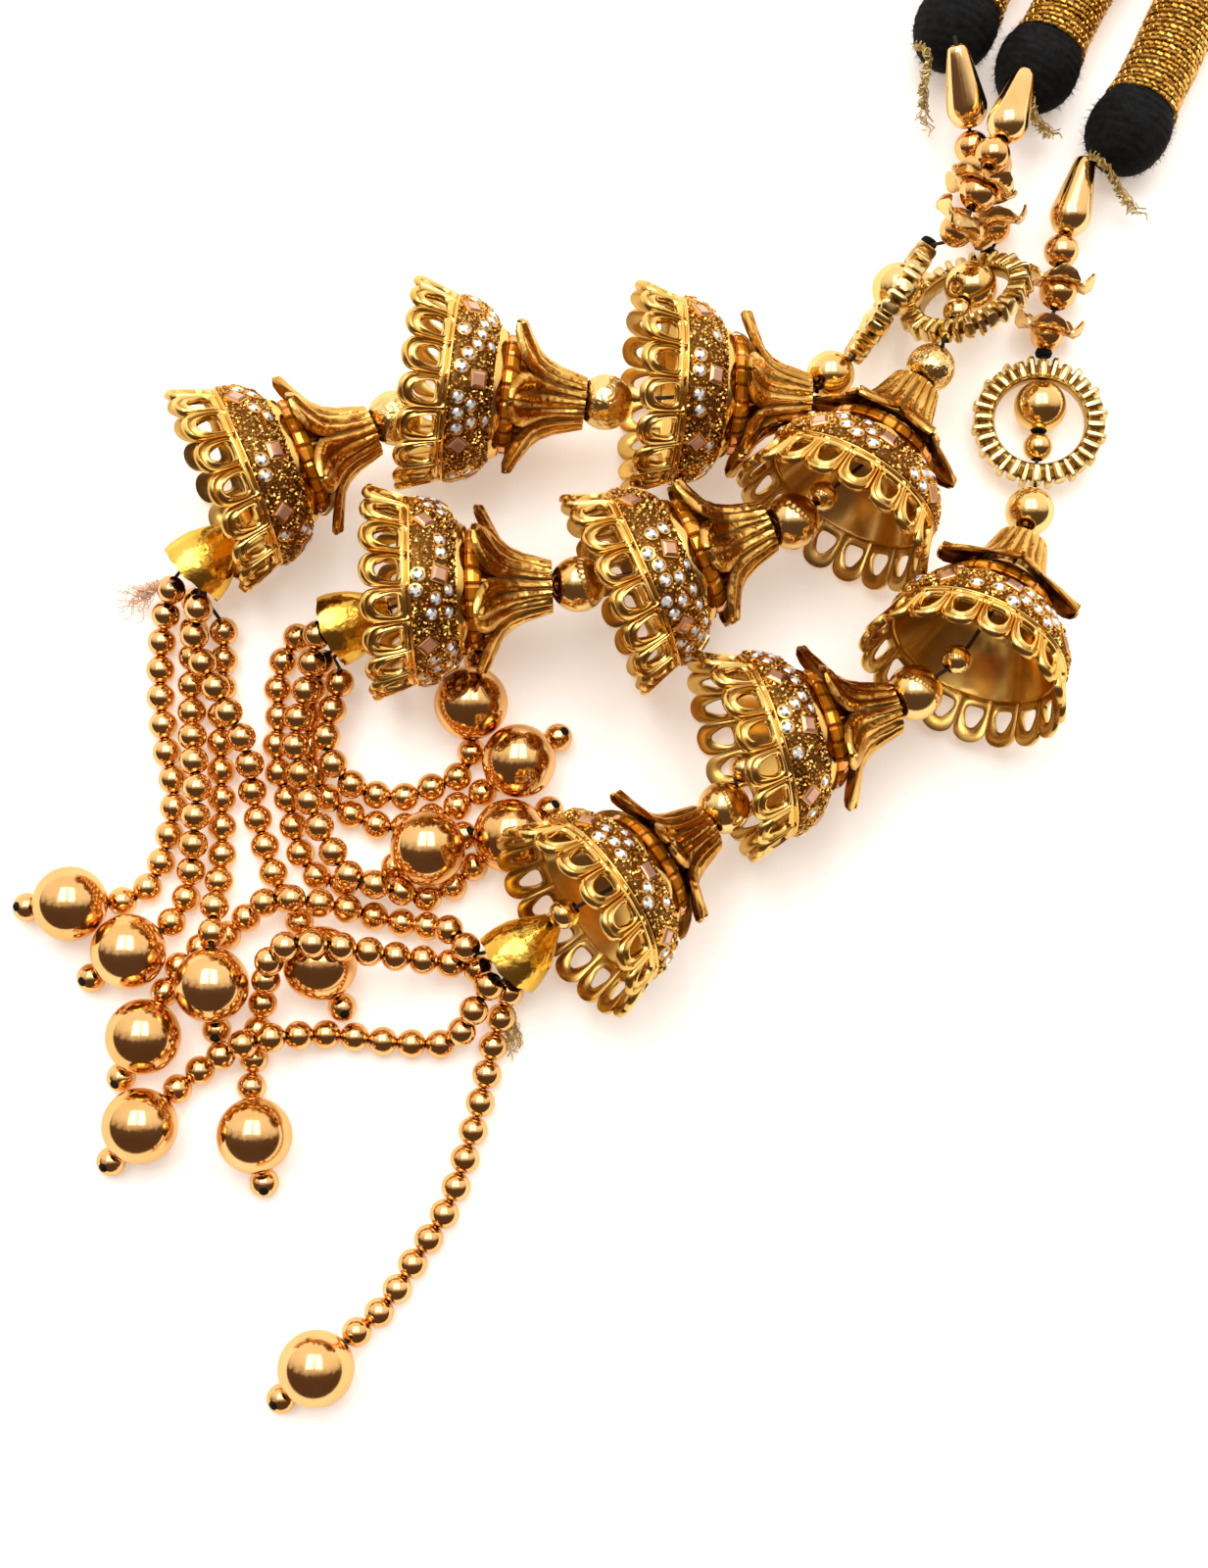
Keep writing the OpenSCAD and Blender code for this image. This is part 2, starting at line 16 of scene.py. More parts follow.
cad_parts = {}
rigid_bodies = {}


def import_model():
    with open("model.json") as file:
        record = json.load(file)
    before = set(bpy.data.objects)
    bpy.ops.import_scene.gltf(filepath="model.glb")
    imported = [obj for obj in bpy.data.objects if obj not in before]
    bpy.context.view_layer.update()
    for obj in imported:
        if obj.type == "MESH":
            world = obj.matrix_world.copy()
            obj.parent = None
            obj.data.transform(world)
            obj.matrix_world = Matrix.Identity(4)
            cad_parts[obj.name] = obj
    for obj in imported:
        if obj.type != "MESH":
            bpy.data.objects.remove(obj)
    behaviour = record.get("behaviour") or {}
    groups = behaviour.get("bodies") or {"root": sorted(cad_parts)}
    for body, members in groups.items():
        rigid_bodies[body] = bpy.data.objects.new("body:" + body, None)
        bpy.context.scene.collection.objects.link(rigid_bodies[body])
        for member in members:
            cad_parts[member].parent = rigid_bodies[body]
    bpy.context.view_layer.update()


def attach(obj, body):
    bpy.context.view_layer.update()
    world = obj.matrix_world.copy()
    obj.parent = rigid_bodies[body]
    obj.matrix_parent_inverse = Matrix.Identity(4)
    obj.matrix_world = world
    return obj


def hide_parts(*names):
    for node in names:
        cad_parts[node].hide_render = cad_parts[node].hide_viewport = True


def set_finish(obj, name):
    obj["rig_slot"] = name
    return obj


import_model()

# %% [markdown]
# The photograph looks almost straight down from about a third of a metre. The mark is the point
# on the table that the camera looks at, and every route below is measured from it in millimetres.
# The camera stands eight degrees off the plumb line, as judged from the rings and the bells' mouths.

# %% Set the camera
MM = 0.001
MARK = np.array([7.5, 29.9, 0.0])
VIEW_TILT = math.radians(8)
VIEW_DISTANCE = 320


def from_mark(point):
    """A point measured from the mark, in metres in the frame."""
    return Vector((np.array(point, float) - MARK) * MM)


camera_data = bpy.data.cameras.new("photo_camera")
camera_data.sensor_width = 36
camera_data.sensor_fit = "AUTO"
camera_data.lens = 54
camera_data.clip_start = 0.01
camera = bpy.data.objects.new("photo_camera", camera_data)
camera.location = from_mark((0, -VIEW_DISTANCE * math.sin(VIEW_TILT), VIEW_DISTANCE * math.cos(VIEW_TILT)))
camera.rotation_euler = (VIEW_TILT, 0, 0)
bpy.context.scene.collection.objects.link(camera)
bpy.context.scene.camera = camera
print("camera at", tuple(round(v, 4) for v in camera.location))

# %% [markdown]
# The sizes and routes are the CAD model's own, repeated in millimetres. A strand is its cord, its
# wound end, the fittings of its collar, a ring, three bells with the beads between them, and a
# tassel cap with four strings.

# %% Sizes and routes
BEAD, PITCH, WEIGHT, BORE = 3.72, 3.82, 10, 1.3
THREAD_R = 0.3
CAP_R, CAP_LEN = 5, 8.6
STRANDS = "abc"

BELLS = [
    [[3.4, 51.3, 14.1, 178, 6, 0], [-26.5, 52, 14.1, 174, 3, 20], [-53, 36.8, 14.1, -157, 6, 35]],
    [[29.7, 32.2, 14.1, -121, 9, 30], [-0.5, 22.8, 14.1, -157, -2, 10],
     [-30.9, 23.4, 14.1, -178, 0, 30]],
    [[46.3, 11, 15.4, -116, 18, 0], [15.2, 1.4, 14.1, -163, 5, 30], [-5.6, -20.5, 16, -145, 16, 0]]]
COLLARS = [
    [[57.6, 96.4, 12.2, "drop", 0, 0], [53.9, 86.2, 13.7, "drop end", 0, 0],
     [52.6, 84, 13.8, "plain", 4.8, 0], [50.5, 78.5, 14, "capped", 5.2, 0],
     [47.6, 73.6, 13, "capped", 4.6, 0]],
    [[48, 101.6, 12.5, "drop", 0, 0], [50.8, 91, 6.6, "drop end", 0, 0],
     [51.1, 88.4, 5.8, "plain", 4.8, 0], [52.4, 82.7, 5.7, "capped", 5.2, 36],
     [54, 77.1, 5, "capped", 4.6, 36]],
    [[66.6, 85.9, 6.2, "drop", 0, 0], [63.7, 75.9, 5.8, "drop end", 0, 0],
     [63.1, 73.4, 5.8, "plain", 4.8, 0], [62.5, 67.6, 5.8, "capped", 5.2, 36],
     [61.1, 62, 4.3, "capped", 4.6, 36]]]
RINGS = [[38.8, 64.7, 9.5, 57, 0, 82], [49.5, 66.2, 7.5, 63, -28, 38], [59.8, 49.6, 3.8, 84.5, -3, 4]]
RING_STOPS = [[9.6, 0], [2.3, 7.2], [-3.5, 4], [-9.6, 0]]
RING_LINKS = [[30.7, 54.8, 8.8, 6.6], [44.1, 55.3, 10.2, 6.6], [57.7, 36.4, 6.4, 6.6]]
LINKS = [
    [[[0.2, 49.7, 12.8, 7.4]], [[-28, 47.8, 11.9, 7.4]], [[-48.7, 34.8, 10.8, 4]]],
    [[[29.2, 37, 12.2, 4], [24.8, 33, 14.4, 7.4]], [[-3.4, 24.6, 14, 7.4]], []],
    [[[46.6, 15, 11.8, 4], [40.9, 10.5, 11.8, 7.4]], [[18.5, 0.6, 10.6, 4], [15.8, -4.5, 9.8, 7]],
     [[-5.2, -18.6, 10.6, 4]]]]
TASSEL_CAPS = [[-55.8, 27.5, 6.6, 225, -8], [-36.7, 19.8, 6.6, 200, -10], [-13, -25.1, 6.4, 222, -12]]
CORDS = [
    [[63.2, 105.2, 5.6], [67, 112.4, 5], [72.4, 121, 5], [77.3, 128.9, 5.8], [81, 136, 5.8]],
    [[52, 111.3, 5.6], [55.2, 117.5, 5.4], [60.2, 124.2, 5.4], [65.6, 129, 5.6],
     [69.1, 135.3, 5.8], [71.9, 140.7, 5.8]],
    [[75.7, 96.2, 5.6], [79.4, 103.6, 5], [84, 114, 5], [86.3, 124.2, 5.8], [90, 131.3, 5.8]]]
WOUND_ENDS = [[60.4, 99.8, 6.2, 62.5], [49.2, 105.9, 6.2, 62.5], [72.9, 90.8, 6.2, 62.5]]
STRINGS = [
    [[13, [[-58.6, 25.8, 5.2], [-60.2, 20.4, 2], [-60.3, 12.6, 2], [-59.4, 5, 2], [-58, -2, 2],
           [-59, -9, 2], [-61.4, -14.4, 2], [-65.5, -16.4, 2.4], [-71.5, -16.8, 5], [-77.7, -17, 2],
           [-80.1, -17, 2]]],
     [13, [[-54.4, 22.6, 8], [-55, 18, 6], [-51.6, 11.2, 6.1], [-49.4, 7, 5.7], [-47.8, 3.4, 4.8],
           [-47.3, -2.4, 2.2], [-45.6, -9, 2], [-43.8, -14, 2], [-41.2, -18.2, 2.2], [-37.9, -24.2, 5],
           [-35.2, -29.8, 2], [-34, -32, 2]]],
     [13, [[-55.8, 24.8, 2.2], [-56, 18.2, 2], [-56, 11, 2], [-55.2, 3.4, 4.6], [-54.4, -0.8, 5.6],
           [-54.8, -8, 4.8], [-55.8, -14.2, 2], [-57.2, -18.2, 2], [-61.7, -22.2, 5], [-67.5, -25.8, 2],
           [-69.5, -27, 2]]],
     [12, [[-51.8, 20.6, 2.6], [-51.8, 16, 2], [-51.9, 11, 2], [-51.9, 4, 2], [-51.6, -4, 2],
           [-51.4, -11, 2.4], [-51.8, -17, 4.8], [-51.8, -20.4, 6], [-51.8, -27.6, 6], [-51.6, -33.4, 2],
           [-51.6, -38, 2]]]],
    [[13, [[-41.8, 19.8, 2.4], [-44.2, 15, 2], [-44.1, 8, 2], [-44.4, 3, 2], [-42.6, -2.6, 2],
           [-40.9, -9.6, 2], [-37.8, -13.2, 2], [-31, -13.8, 2], [-27.8, -11.4, 2.6], [-23.3, -9.6, 7.2],
           [-18.6, -7.2, 2], [-16.4, -6.2, 2]]],
     [15, [[-38.4, 19, 8], [-40, 12, 6], [-41.4, 5, 6], [-39.4, -3, 5.8], [-36.6, -9, 5.6],
           [-33, -13.9, 6], [-29.6, -14.4, 5.9], [-26.2, -15.2, 3.8], [-22.2, -15.5, 2],
           [-17.4, -11.4, 2], [-12.9, -8, 5], [-7, -3.6, 2], [-5, -2.2, 2]]],
     [10, [[-35.6, 13.1, 4.8], [-36.4, 10, 4.8], [-37.3, 6, 5.4], [-35.6, 0.8, 5], [-31.4, -1.6, 2.2],
           [-26.4, -2, 2], [-23, -0.6, 2], [-19.4, 1, 2], [-17.9, 4.3, 2], [-17.9, 10.4, 5],
           [-17.1, 16.8, 2], [-16.6, 19, 2]]],
     [12, [[-38.4, 16.2, 2.4], [-39.8, 10, 2], [-39.8, 4, 2], [-37.8, -1.6, 2], [-34.2, -4.4, 2],
           [-30.6, -5.9, 2], [-27, -6.2, 2], [-20, -3.4, 2], [-16.8, -1.8, 2], [-11.4, 2.4, 5],
           [-6, 6.2, 2], [-4, 7.6, 2]]]],
    [[14, [[-12.6, -28.4, 3.6], [-14.4, -34, 2], [-16.2, -42, 2], [-18, -49, 2], [-20.6, -56.6, 2],
           [-24.6, -63, 2], [-28.4, -69, 2], [-31.4, -71.8, 2], [-36, -76, 5], [-41.4, -80.6, 2],
           [-43.4, -82.4, 2]]],
     [14, [[-15.2, -27.8, 6.8], [-17.6, -31.6, 5.8], [-20.6, -35, 2.4], [-28, -35, 2], [-36, -34, 2],
           [-42.8, -34.4, 5.2], [-46.2, -35, 6.1], [-50, -36.4, 4.2], [-55.8, -40.4, 2], [-60, -45, 5],
           [-64.6, -50, 2], [-66.4, -52, 2]]],
     [14, [[-16.8, -25.3, 3.4], [-20.3, -24.7, 4.6], [-27, -24, 7.4], [-33.8, -23, 10.8],
           [-38, -22.6, 12.2], [-41.2, -22.8, 11.4], [-43.8, -24.6, 9], [-45, -28.6, 4.4],
           [-46.2, -34.2, 2], [-46.8, -40.6, 2], [-46, -46.4, 5], [-45, -52.6, 2], [-44.8, -55, 2]]],
     [14, [[-18.2, -22.7, 7.6], [-20, -20.6, 6.6], [-22, -20, 4.4], [-28.6, -18.8, 2],
           [-35.6, -17.1, 4.5], [-42.8, -16.2, 6.3], [-46.4, -17.4, 4.4], [-50, -20.4, 2],
           [-55.5, -23.4, 2], [-58.2, -27.5, 2], [-60.6, -34, 5], [-64, -39.4, 2], [-65.2, -41.4, 2]]]]]
print("strings:", sum(len(s) for s in STRINGS), "small beads:", sum(row[0] + 1 for s in STRINGS for row in s))

# %% [markdown]
# A string's beads are stepped along a smooth curve through listed points, each a chord away from
# the one before, because that is how beads sit on a thread. The same maths as the CAD model's
# keeps every bead where its solid is.


# %% Route maths
def unit(v):
    return v / np.linalg.norm(v)


def smooth(route, steps):
    """A curve through the points of a route, with that many steps between two points."""
    pts = [np.array(p, float) for p in route]
    last = len(pts) - 1
    out = []
    for i in range(last):
        a, b, c, d = pts[max(i - 1, 0)], pts[i], pts[i + 1], pts[min(i + 2, last)]
        for k in range(steps):
            t = k / steps
            out.append(0.5 * (2 * b + (c - a) * t + (2 * a - 5 * b + 4 * c - d) * t * t
                              + (3 * b - a - 3 * c + d) * t ** 3))
    return out + [pts[last]]


def walk(path, steps):
    """Places along a path at which chords of the given lengths end."""
    at, i, out = path[0], 0, [path[0]]
    for step in steps:
        j = next(m for m in range(i + 1, len(path)) if np.linalg.norm(path[m] - at) >= step)
        a, b = np.linalg.norm(path[j - 1] - at), np.linalg.norm(path[j] - at)
        at = path[j - 1] + (path[j] - path[j - 1]) * (step - a) / (b - a)
        i = j - 1
        out.append(at)
    return out


def direction(points, i):
    return unit(points[min(i + 1, len(points) - 1)] - points[max(i - 1, 0)])


def across(path, i):
    """The way along a path at a point, and two ways square to it."""
    t = direction(path, i)
    u = unit(np.cross(t, [0.13, 0.21, 1]))
    return t, u, np.cross(t, u)


def distances(path):
    """How far along a path each of its points is."""
    far = [0]
    for a, b in zip(path, path[1:]):
        far.append(far[-1] + np.linalg.norm(b - a))
    return far


def heading_vector(heading, rise):
    h, r = math.radians(heading), math.radians(rise)
    return np.array([math.cos(r) * math.cos(h), math.cos(r) * math.sin(h), math.sin(r)])


def back_from(row, distance):
    return np.array(row[:3], float) - distance * heading_vector(row[3], row[4])


def string_stops(row):
    """The small beads of a string, its large bead and the small one that ends it."""
    count = row[0]
    weight_step = (BEAD + WEIGHT) / 2 + 0.1
    steps = [PITCH if k < count else weight_step for k in range(1, count + 2)]
    stops = []
    for k, p in enumerate(walk(smooth(row[1], 10), steps)):
        d = WEIGHT if k == count else BEAD
        stops.append((np.array([p[0], p[1], max(p[2], d / 2 + 0.02)]), "string", d, 0))
    return stops


def through(p):
    return (np.array(p, float), "thread", 0, 0)


def strand_stops(s):
    """Everything that a strand's thread passes, from the drop to the knot in the tassel cap."""
    stops = [(np.array(r[:3], float), r[3], r[4], r[5]) for r in COLLARS[s]]
    along = heading_vector(RINGS[s][3], RINGS[s][4])
    stops += [(np.array(RINGS[s][:3]) + d * along, "link" if size else "thread", size, 0)
              for d, size in RING_STOPS]
    stops.append((np.array(RING_LINKS[s][:3]), "link", RING_LINKS[s][3], 0))
    for i in range(3):
        stops += [through(back_from(BELLS[s][i], 24)), through(back_from(BELLS[s][i], 12))]
        stops += [(np.array(r[:3]), "link", r[3], 0) for r in LINKS[s][i]]
    return stops + [through(back_from(TASSEL_CAPS[s], CAP_LEN + 0.5)), through(back_from(TASSEL_CAPS[s], 5))]


def tassel_stops(s, k):
    """What a string's thread passes, from the knot in the tassel cap to the bead that ends it."""
    cap, stops = TASSEL_CAPS[s], string_stops(STRINGS[s][k])
    axis, place = heading_vector(cap[3], cap[4]), np.array(cap[:3])
    out = stops[0][0] - place
    side = unit(out - np.dot(out, axis) * axis)
    return [through(back_from(cap, 5)), through(place + axis + (CAP_R - 1.6) * side)] + stops


print("beads on string a1:", len(string_stops(STRINGS[0][0])))

# %% [markdown]
# Every piece starts as a small unit shape in millimetres around its own axis, is repeated or bent
# there, and is then set at its place. A plain record of vertices, faces and one value of painted
# shade per vertex is enough for that, and Blender objects are only made from the finished result.


# %% Shapes
class Shape:
    """Vertices in millimetres, faces, and a value from 0 to 1 that paints shade into hollows and dark facets,
    and a tone into stitches.
    """

    def __init__(self, v=(), f=(), shade=None):
        self.v = np.array(v, float).reshape(-1, 3)
        self.f = [tuple(face) for face in f]
        self.shade = np.zeros(len(self.v)) if shade is None else np.array(shade, float)

    def placed(self, matrix, move=(0, 0, 0)):
        return Shape(self.v @ np.array(matrix).T + np.array(move), self.f, self.shade)


def joined(shapes):
    v, f, w, n = [], [], [], 0
    for shape in shapes:
        v.append(shape.v)
        w.append(shape.shade)
        f += [tuple(i + n for i in face) for face in shape.f]
        n += len(shape.v)
    return Shape(np.concatenate(v), f, np.concatenate(w))


def lattice(rows, columns, rows_close=False, columns_close=True):
    """The faces between rows of points, each row with the same number of them."""
    f = []
    for j in range(rows if rows_close else rows - 1):
        m = (j + 1) % rows
        for k in range(columns if columns_close else columns - 1):
            n = (k + 1) % columns
            f.append((j * columns + k, j * columns + n, m * columns + n, m * columns + k))
    return f


def flipped(faces):
    return [(a, d, c, b) for a, b, c, d in faces]


def part_turn(k, parts):
    """The angle of one of several equal parts of a turn."""
    return 2 * math.pi * k / parts


def polar(r, angle, z):
    return r * math.cos(angle), r * math.sin(angle), z


def turn(axis, degrees):
    return np.array(Matrix.Rotation(math.radians(degrees), 3, axis))


def aimed(heading, rise):
    """The turn that takes +Z to a heading and a rise."""
    return turn("Z", heading) @ turn("Y", 90 - rise)


def aimed_along(v):
    return aimed(math.degrees(math.atan2(v[1], v[0])), math.degrees(math.asin(v[2] / np.linalg.norm(v))))


def on_bell(shape, row, spin=0):
    """A shape drawn on a bell's axis, mouth at z = 0, set at the bell's place."""
    return shape.placed(aimed(row[3] + 180, -row[4]) @ turn("Z", spin), row[:3])


def revolve(profile, segments, shade=None, wobble=None):
    """A closed profile of (radius, height) turned about Z. wobble moves each ring of points."""
    v, w = [], []
    for k in range(segments):
        a = part_turn(k, segments)
        for i, (r, z) in enumerate(profile):
            if wobble:
                r, z = wobble(a, r, z)
            v.append(polar(r, a, z))
            w.append(shade[i] if shade else 0)
    return Shape(v, flipped(lattice(segments, len(profile), rows_close=True)), w)


def outward(shape, merge=None):
    """The shape with its face directions made consistent, and outward where it is closed."""
    bm = bmesh.new()
    layer = bm.verts.layers.float.new("shade")
    verts = [bm.verts.new(p) for p in shape.v]
    for vert, value in zip(verts, shape.shade):
        vert[layer] = value
    for face in shape.f:
        bm.faces.new([verts[i] for i in face])
    if merge:
        bmesh.ops.remove_doubles(bm, verts=bm.verts, dist=merge)
    bmesh.ops.recalc_face_normals(bm, faces=bm.faces)
    bm.verts.index_update()
    faces = [[vert.index for vert in face.verts] for face in bm.faces]
    out = Shape([vert.co[:] for vert in bm.verts], faces, [vert[layer] for vert in bm.verts])
    bm.free()
    return out


def rounded(points, times=1):
    """A polygon with its corners cut, so that it reads as cast or pressed metal."""
    for _ in range(times):
        out = []
        for i in range(len(points)):
            a, b = np.array(points[i], float), np.array(points[(i + 1) % len(points)], float)
            out += [tuple(0.75 * a + 0.25 * b), tuple(0.25 * a + 0.75 * b)]
        points = out
    return points


def plain_object(name, shape, scale=MM, origin=MARK):
    """A Blender mesh object of a shape, not yet a piece."""
    mesh = bpy.data.meshes.new(name)
    mesh.from_pydata(((shape.v - origin) * scale).tolist(), [], shape.f)
    attribute = mesh.attributes.new("shade", "FLOAT", "POINT")
    attribute.data.foreach_set("value", shape.shade.astype(np.float32))
    mesh.update()
    obj = bpy.data.objects.new(name, mesh)
    bpy.context.scene.collection.objects.link(obj)
    return obj


TABLE_LEVEL = 0.01


def piece(name, shape, material, slot, nodes=(), crease=40):
    """A finished piece, tied to the frame. What would dip under the table is laid on it."""
    shape.v[:, 2] = np.maximum(shape.v[:, 2], TABLE_LEVEL)
    obj = plain_object(name, shape)
    obj.data.materials.append(material)
    obj.data.shade_smooth()
    obj.data.set_sharp_from_angle(angle=math.radians(crease))
    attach(obj, "root")
    if nodes:
        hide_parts(*nodes)
    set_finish(obj, slot)
    print(name, len(shape.v), "vertices")


print("shapes ready")

# %% [markdown]
# Scallops, petals, ribs and facets repeat round an axis, beads repeat along a thread, and granules
# and fibres are strewn over a surface. Geometry Nodes do all three, so there is one tree for each.
# A tree's result is turned into a plain mesh and read back as a shape.


# %% Geometry Nodes helpers
def new_tree(name, inputs):
    """An empty tree with a geometry in and out, and the named inputs."""
    tree = bpy.data.node_groups.new(name, "GeometryNodeTree")
    tree.interface.new_socket("Geometry", in_out="OUTPUT", socket_type="NodeSocketGeometry")
    tree.interface.new_socket("Geometry", in_out="INPUT", socket_type="NodeSocketGeometry")
    for label, kind in inputs:
        tree.interface.new_socket(label, in_out="INPUT", socket_type="NodeSocket" + kind)
    return tree


def add_node(tree, kind, values=None, **settings):
    """A node with its settings, then its input values or links."""
    node = tree.nodes.new(kind)
    for key, value in settings.items():
        setattr(node, key, value)
    for key, value in (values or {}).items():
        if isinstance(value, bpy.types.NodeSocket):
            tree.links.new(value, node.inputs[key])
        else:
            node.inputs[key].default_value = value
    return node


def close_tree(tree, geometry, material_socket):
    """Ends a tree in Realize Instances and Set Material."""
    real = add_node(tree, "GeometryNodeRealizeInstances", {"Geometry": geometry})
    painted = add_node(tree, "GeometryNodeSetMaterial",
                       {"Geometry": real.outputs["Geometry"], "Material": material_socket})
    end = add_node(tree, "NodeGroupOutput")
    tree.links.new(painted.outputs["Geometry"], end.inputs[0])


def run_tree(obj, tree, **values):
    """Runs a tree on an object and returns the result as a shape in the object's own units."""
    modifier = obj.modifiers.new(tree.name, "NODES")
    modifier.node_group = tree
    for item in tree.interface.items_tree:
        if item.in_out == "INPUT" and item.name.replace(" ", "_") in values:
            modifier[item.identifier] = values[item.name.replace(" ", "_")]
    bpy.context.view_layer.update()
    graph = bpy.context.evaluated_depsgraph_get()
    mesh = bpy.data.meshes.new_from_object(obj.evaluated_get(graph))
    obj.modifiers.remove(modifier)
    shape = shape_of(mesh)
    bpy.data.meshes.remove(mesh)
    return shape


def shape_of(mesh):
    v = np.zeros(len(mesh.vertices) * 3)
    mesh.vertices.foreach_get("co", v)
    shade = np.zeros(len(mesh.vertices))
    if "shade" in mesh.attributes:
        mesh.attributes["shade"].data.foreach_get("value", shade)
    return Shape(v.reshape(-1, 3), [tuple(p.vertices) for p in mesh.polygons], shade)


def discard(*objects):
    for obj in objects:
        mesh = obj.data
        bpy.data.objects.remove(obj)
        bpy.data.meshes.remove(mesh)


def unit_object(name, shape):
    """A helper object in millimetres at the origin, deleted once it has been used."""
    return plain_object(name, shape, scale=1, origin=np.zeros(3))


# Repeated shapes carry this until their piece gets its own finish.
plain_metal = bpy.data.materials.new("unit_metal")
print("stand-in material:", plain_metal.name)

# %% The tree that repeats a sector round an axis
round_tree = new_tree("round_the_axis", [("Count", "Int"), ("Material", "Material")])
start = add_node(round_tree, "NodeGroupInput")
points = add_node(round_tree, "GeometryNodePoints", {"Count": start.outputs["Count"]})
index = add_node(round_tree, "GeometryNodeInputIndex")
share = add_node(round_tree, "ShaderNodeMath", {0: index.outputs[0], 1: start.outputs["Count"]},
                 operation="DIVIDE")
angle = add_node(round_tree, "ShaderNodeMath", {0: share.outputs[0], 1: 2 * math.pi}, operation="MULTIPLY")
spin = add_node(round_tree, "ShaderNodeCombineXYZ", {"Z": angle.outputs[0]})
copies = add_node(round_tree, "GeometryNodeInstanceOnPoints", {
    "Points": points.outputs[0], "Instance": start.outputs["Geometry"], "Rotation": spin.outputs[0]})
close_tree(round_tree, copies.outputs[0], start.outputs["Material"])


def round_axis(name, sector, count):
    """A sector repeated round its axis."""
    obj = unit_object(name, sector)
    shape = run_tree(obj, round_tree, Count=count, Material=plain_metal)
    discard(obj)
    print(name, count, "times:", len(shape.f), "faces")
    return shape


print(round_tree.name, "has", len(round_tree.nodes), "nodes")


# %% The tree that sets a shape on points, along a direction and at a size
point_tree = new_tree("set_on_points", [("Shape", "Object"), ("Material", "Material")])
start = add_node(point_tree, "NodeGroupInput")
along = add_node(point_tree, "GeometryNodeInputNamedAttribute", {"Name": "along"}, data_type="FLOAT_VECTOR")
size = add_node(point_tree, "GeometryNodeInputNamedAttribute", {"Name": "size"}, data_type="FLOAT")
twist = add_node(point_tree, "GeometryNodeInputNamedAttribute", {"Name": "twist"}, data_type="FLOAT")
turned = add_node(point_tree, "FunctionNodeAlignRotationToVector", {"Vector": along.outputs[0]}, axis="Z")
own = add_node(point_tree, "ShaderNodeCombineXYZ", {"Z": twist.outputs[0]})
both = add_node(point_tree, "FunctionNodeRotateRotation", {0: turned.outputs[0], 1: own.outputs[0]},
                rotation_space="LOCAL")
source = add_node(point_tree, "GeometryNodeObjectInfo", {"Object": start.outputs["Shape"]})
copies = add_node(point_tree, "GeometryNodeInstanceOnPoints", {
    "Points": start.outputs["Geometry"], "Instance": source.outputs["Geometry"],
    "Rotation": both.outputs[0], "Scale": size.outputs[0]})
close_tree(point_tree, copies.outputs[0], start.outputs["Material"])


def set_on_points(name, shape, places, alongs, sizes=None, twists=None):
    """Copies of a shape on points, its +Z along each point's direction."""
    sizes, twists = sizes or [1] * len(places), twists or [0] * len(places)
    source = unit_object(name + "_unit", shape)
    holder = unit_object(name, Shape(places))
    mesh = holder.data
    for label, kind, values, field in (
            ("along", "FLOAT_VECTOR", alongs, "vector"), ("size", "FLOAT", sizes, "value"),
            ("twist", "FLOAT", twists, "value")):
        attribute = mesh.attributes.new(label, kind, "POINT")
        attribute.data.foreach_set(field, np.array(values, np.float32).ravel())
    shape = run_tree(holder, point_tree, Shape=source, Material=plain_metal)
    discard(holder, source)
    return shape


print(point_tree.name, "has", len(point_tree.nodes), "nodes")


# %% The tree that strews a shape over a surface
strew_tree = new_tree("strew_over_surface", [
    ("Shape", "Object"), ("Spacing", "Float"), ("Density", "Float"), ("Smallest", "Float"),
    ("Largest", "Float"), ("Lean", "Float"), ("Seed", "Int"), ("Material", "Material")])
start = add_node(strew_tree, "NodeGroupInput")
strewn = add_node(strew_tree, "GeometryNodeDistributePointsOnFaces", {
    "Mesh": start.outputs["Geometry"], "Distance Min": start.outputs["Spacing"],
    "Density Max": start.outputs["Density"], "Seed": start.outputs["Seed"]}, distribute_method="POISSON")
scale = add_node(strew_tree, "FunctionNodeRandomValue", {
    2: start.outputs["Smallest"], 3: start.outputs["Largest"], "Seed": start.outputs["Seed"]},
                 data_type="FLOAT")
lean = add_node(strew_tree, "FunctionNodeRandomValue", {"Min": (-1, -1, -3.2), "Max": (1, 1, 3.2), "Seed": 5},
                data_type="FLOAT_VECTOR")
leaning = add_node(strew_tree, "ShaderNodeCombineXYZ", {
    "X": start.outputs["Lean"], "Y": start.outputs["Lean"], "Z": 1})
tipped = add_node(strew_tree, "ShaderNodeVectorMath", {0: lean.outputs["Value"], 1: leaning.outputs[0]},
                  operation="MULTIPLY")
both = add_node(strew_tree, "FunctionNodeRotateRotation",
                {0: strewn.outputs["Rotation"], 1: tipped.outputs[0]}, rotation_space="LOCAL")
source = add_node(strew_tree, "GeometryNodeObjectInfo", {"Object": start.outputs["Shape"]})
copies = add_node(strew_tree, "GeometryNodeInstanceOnPoints", {
    "Points": strewn.outputs["Points"], "Instance": source.outputs["Geometry"],
    "Rotation": both.outputs[0], "Scale": scale.outputs[1]})
close_tree(strew_tree, copies.outputs[0], start.outputs["Material"])


def strew(name, surface, shape, spacing, smallest, largest, lean, seed):
    """Copies of a shape over a surface, no two nearer than the spacing."""
    source, holder = unit_object(name + "_unit", shape), unit_object(name, surface)
    shape = run_tree(holder, strew_tree, Shape=source, Spacing=spacing, Density=2 / spacing ** 2,
                     Smallest=smallest, Largest=largest, Lean=lean, Seed=seed, Material=plain_metal)
    discard(holder, source)
    return shape


print(strew_tree.name, "has", len(strew_tree.nodes), "nodes")
